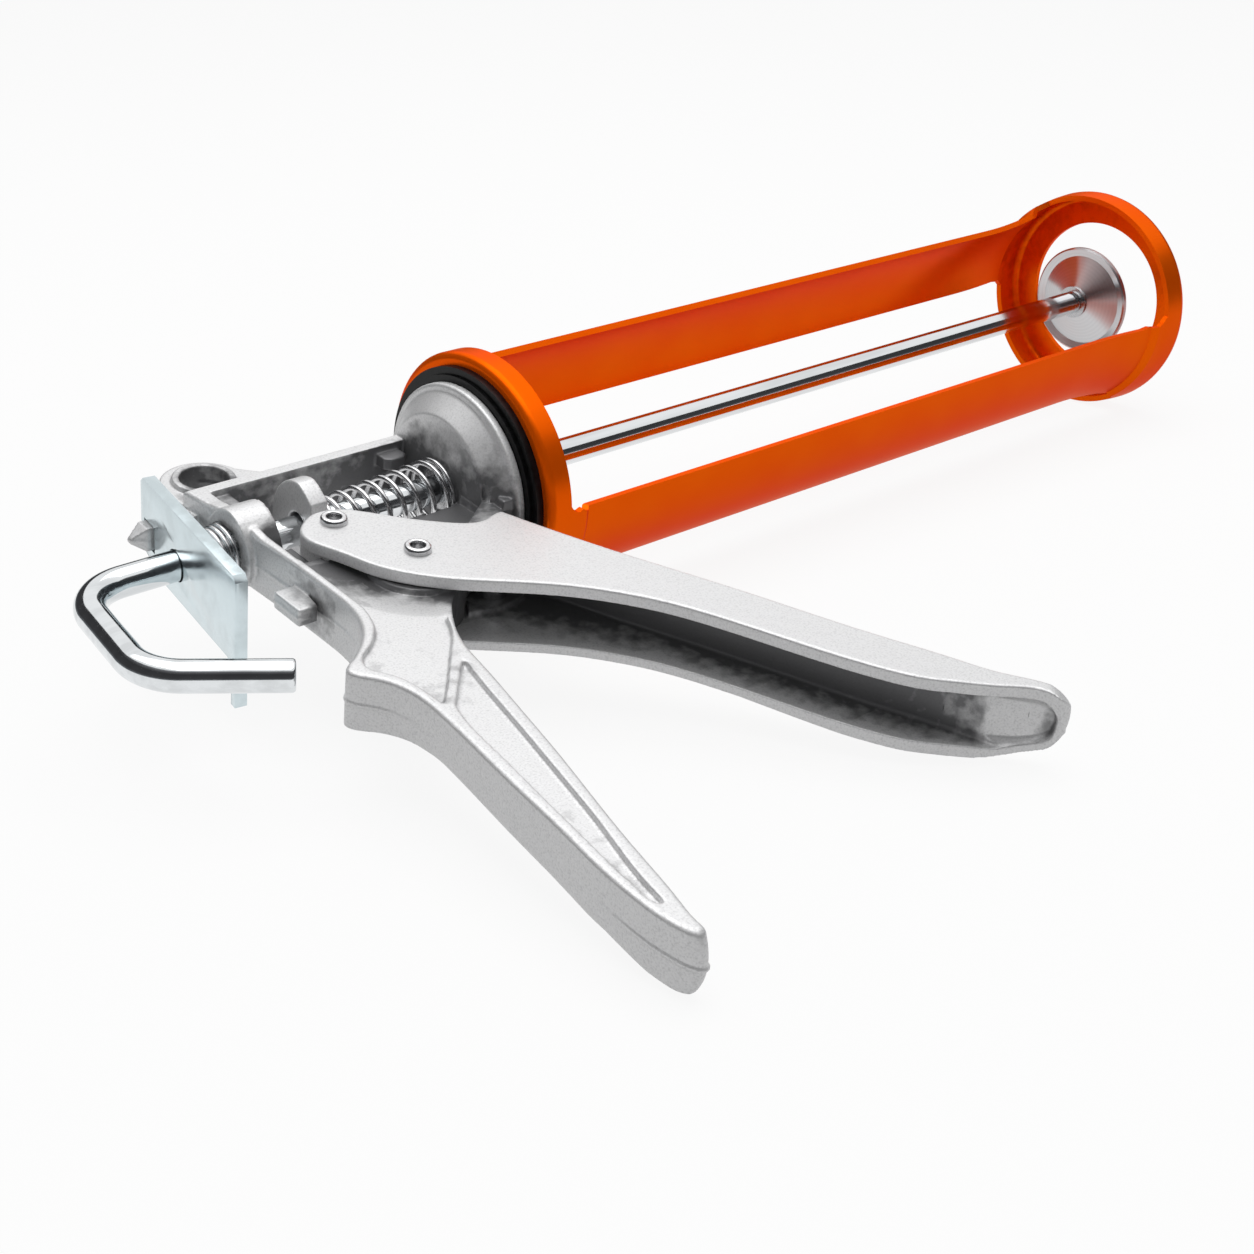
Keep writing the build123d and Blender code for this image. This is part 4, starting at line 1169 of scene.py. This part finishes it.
# %% CAD parts that keep their shape
for node_name, material in (
        ("rear_guide_bush", steel), ("front_guide_bush", steel), ("pivot_sleeve", steel),
        ("seal_ring", black_rubber), ("retainer_washer", steel), ("retainer_clip", spring_steel),
        ("collar_washer", steel), ("piston_disc", spun_steel), ("front_washer", steel),
        ("pivot_washer_upper", steel), ("pivot_washer_lower", steel), ("drive_sleeve", steel),
        ("spring_seat", steel)):
    part = frame["nodes"][node_name]
    part.data.materials.clear()
    part.data.materials.append(material)

# %% [markdown]
# ## Floor, light and camera
# The gun lies on a pale floor under one large softbox, which makes every face
# that looks up bright and leaves the sides a middle grey.  Floor and background
# are plain white to the camera and to the metal's reflections, while a curtain of
# dark card, paler at the top and highest behind the camera, stands round the table
# where only reflections can see it.  Chrome needs it: bright metal has no shading
# of its own, and shows its roundness by the dark band it reflects.

# %% White for the camera and for reflections
def white_for_the_eye(tree):
    """1 on the rays that the camera, gloss or glass send out, 0 on the others."""
    path = node(tree, "ShaderNodeLightPath").outputs
    first = math_node(tree, "MAXIMUM", path["Is Camera Ray"], path["Is Glossy Ray"])
    return math_node(tree, "MAXIMUM", first, path["Is Transmission Ray"])


# %% Floor
TABLE_X, TABLE_Y = -0.15, -0.05
FLOOR_Z = cad_box[0].z
FLOOR_SHADOW = 0.11
FLOOR_BOUNCE = 0.18
work = bmesh.new()
bmesh.ops.create_grid(work, x_segments=1, y_segments=1, size=6.0)
floor_mesh = closed(work, bpy.data.meshes.new("floor"))
floor_mesh.transform(Matrix.Translation((TABLE_X, TABLE_Y, FLOOR_Z)))
floor = live_object("floor", floor_mesh)
paper, tree, shader = new_finish("floor_paper", 0.0, 0.95)
seen = white_for_the_eye(tree)
tone = scaled(tree, seen, FLOOR_BOUNCE, 0.9)
grey = node(tree, "ShaderNodeCombineColor", [("Red", tone), ("Green", tone), ("Blue", tone)])
join(tree, shader, [("Base Color", grey.outputs["Color"]), ("Specular IOR Level", 0.0)])
glow = node(tree, "ShaderNodeEmission", [("Strength", 1.0)])
mix = node(tree, "ShaderNodeMixShader", [
    ("Fac", scaled(tree, seen, 0.0, 1.0 - FLOOR_SHADOW)), (1, shader.outputs["BSDF"]),
    (2, glow.outputs["Emission"])])
join(tree, tree.nodes["Material Output"], [("Surface", mix.outputs["Shader"])])
floor_mesh.materials.append(paper)

# %% Grey card round the table
work = bmesh.new()
CARD_SIDES = 48
CARD_RADIUS = 0.6
CARD_FOOT = FLOOR_Z + 0.001
CARD_LOW, CARD_HIGH = 0.16, 0.80
CARD_HIGH_SIDE = math.radians(219)
bottom, top = [], []
for k in range(CARD_SIDES):
    turn = math.tau * k / CARD_SIDES
    share = 0.5 + 0.5 * math.cos(turn - CARD_HIGH_SIDE)
    height = FLOOR_Z + CARD_LOW + (CARD_HIGH - CARD_LOW) * share
    for ring, at_height in ((bottom, CARD_FOOT), (top, height)):
        ring.append(work.verts.new((TABLE_X + CARD_RADIUS * math.cos(turn),
                                    TABLE_Y + CARD_RADIUS * math.sin(turn), at_height)))
for k in range(CARD_SIDES):
    after = (k + 1) % CARD_SIDES
    work.faces.new((bottom[k], bottom[after], top[after], top[k]))
card_mesh = closed(work, bpy.data.meshes.new("card"))
card = live_object("grey_card", card_mesh)

# %% Shades of the card
card_paper = bpy.data.materials.new("grey_card")
card_paper.use_nodes = True
tree = card_paper.node_tree
tree.nodes.remove(tree.nodes["Principled BSDF"])
place = node(tree, "ShaderNodeTexCoord")
axes = node(tree, "ShaderNodeSeparateXYZ", [("Vector", place.outputs["Object"])])
height = scaled(tree, axes.outputs["Z"], 0.0, 1.0, CARD_FOOT, FLOOR_Z + CARD_HIGH)
darks = [(at, (shade, shade, shade * 1.05))
         for at, shade in ((0.10, 0.05), (0.45, 0.04), (0.80, 0.16))]
shades = colour_ramp(tree, height, [(0.0, (0.16, 0.17, 0.18)), *darks, (1.0, (0.60, 0.61, 0.62))])
glow = node(tree, "ShaderNodeEmission", [("Color", shades)])
join(tree, tree.nodes["Material Output"], [("Surface", glow.outputs["Emission"])])
card_mesh.materials.append(card_paper)
card.visible_camera = False
card.visible_diffuse = False
card.visible_shadow = False
card.visible_transmission = False

# %% [markdown]
# ### Light and camera
# The world is white wherever the eye or a reflection meets it, and gives the gun a
# weaker, even fill light.  The softbox above does the rest.  The camera looks down
# on the gun over its handles, from the hook's side.

# %% World
FILL_LIGHT = 0.50
world = bpy.data.worlds.new("studio")
bpy.context.scene.world = world
world.use_nodes = True
sky = world.node_tree
join(sky, sky.nodes["Background"], [
    ("Color", (1, 1, 1, 1)), ("Strength", scaled(sky, white_for_the_eye(sky), FILL_LIGHT, 1.0))])


# %% Lamps
def softbox(name, at, aim, size, power):
    lamp = bpy.data.lights.new(name, "AREA")
    lamp.shape = "RECTANGLE"
    lamp.size, lamp.size_y = size
    lamp.energy = power
    holder = bpy.data.objects.new(name, lamp)
    holder.location = at
    direction = Vector(aim) - Vector(at)
    holder.rotation_euler = direction.to_track_quat("-Z", "Y").to_euler()
    bpy.context.scene.collection.objects.link(holder)


softbox("top_box", (TABLE_X, 0.05, 0.9), (TABLE_X, TABLE_Y, 0), (1.0, 1.0), 5.2)

# %% Camera
camera = bpy.data.cameras.new("camera")
camera.sensor_width = 36.0
camera.lens = 56.04
camera.shift_x = -0.002
camera.shift_y = 0.0027
camera.clip_start = 0.01
holder = bpy.data.objects.new("camera", camera)
holder.location = (-0.49121, -0.33015, 0.1511)
holder.rotation_euler = tuple(math.radians(a) for a in (65.5216, 0.0196, -42.3753))
bpy.context.scene.collection.objects.link(holder)
bpy.context.scene.camera = holder
bpy.context.scene.view_settings.view_transform = "Standard"

# %% Sizes and finish
print("cad", [list(c) for c in cad_box])
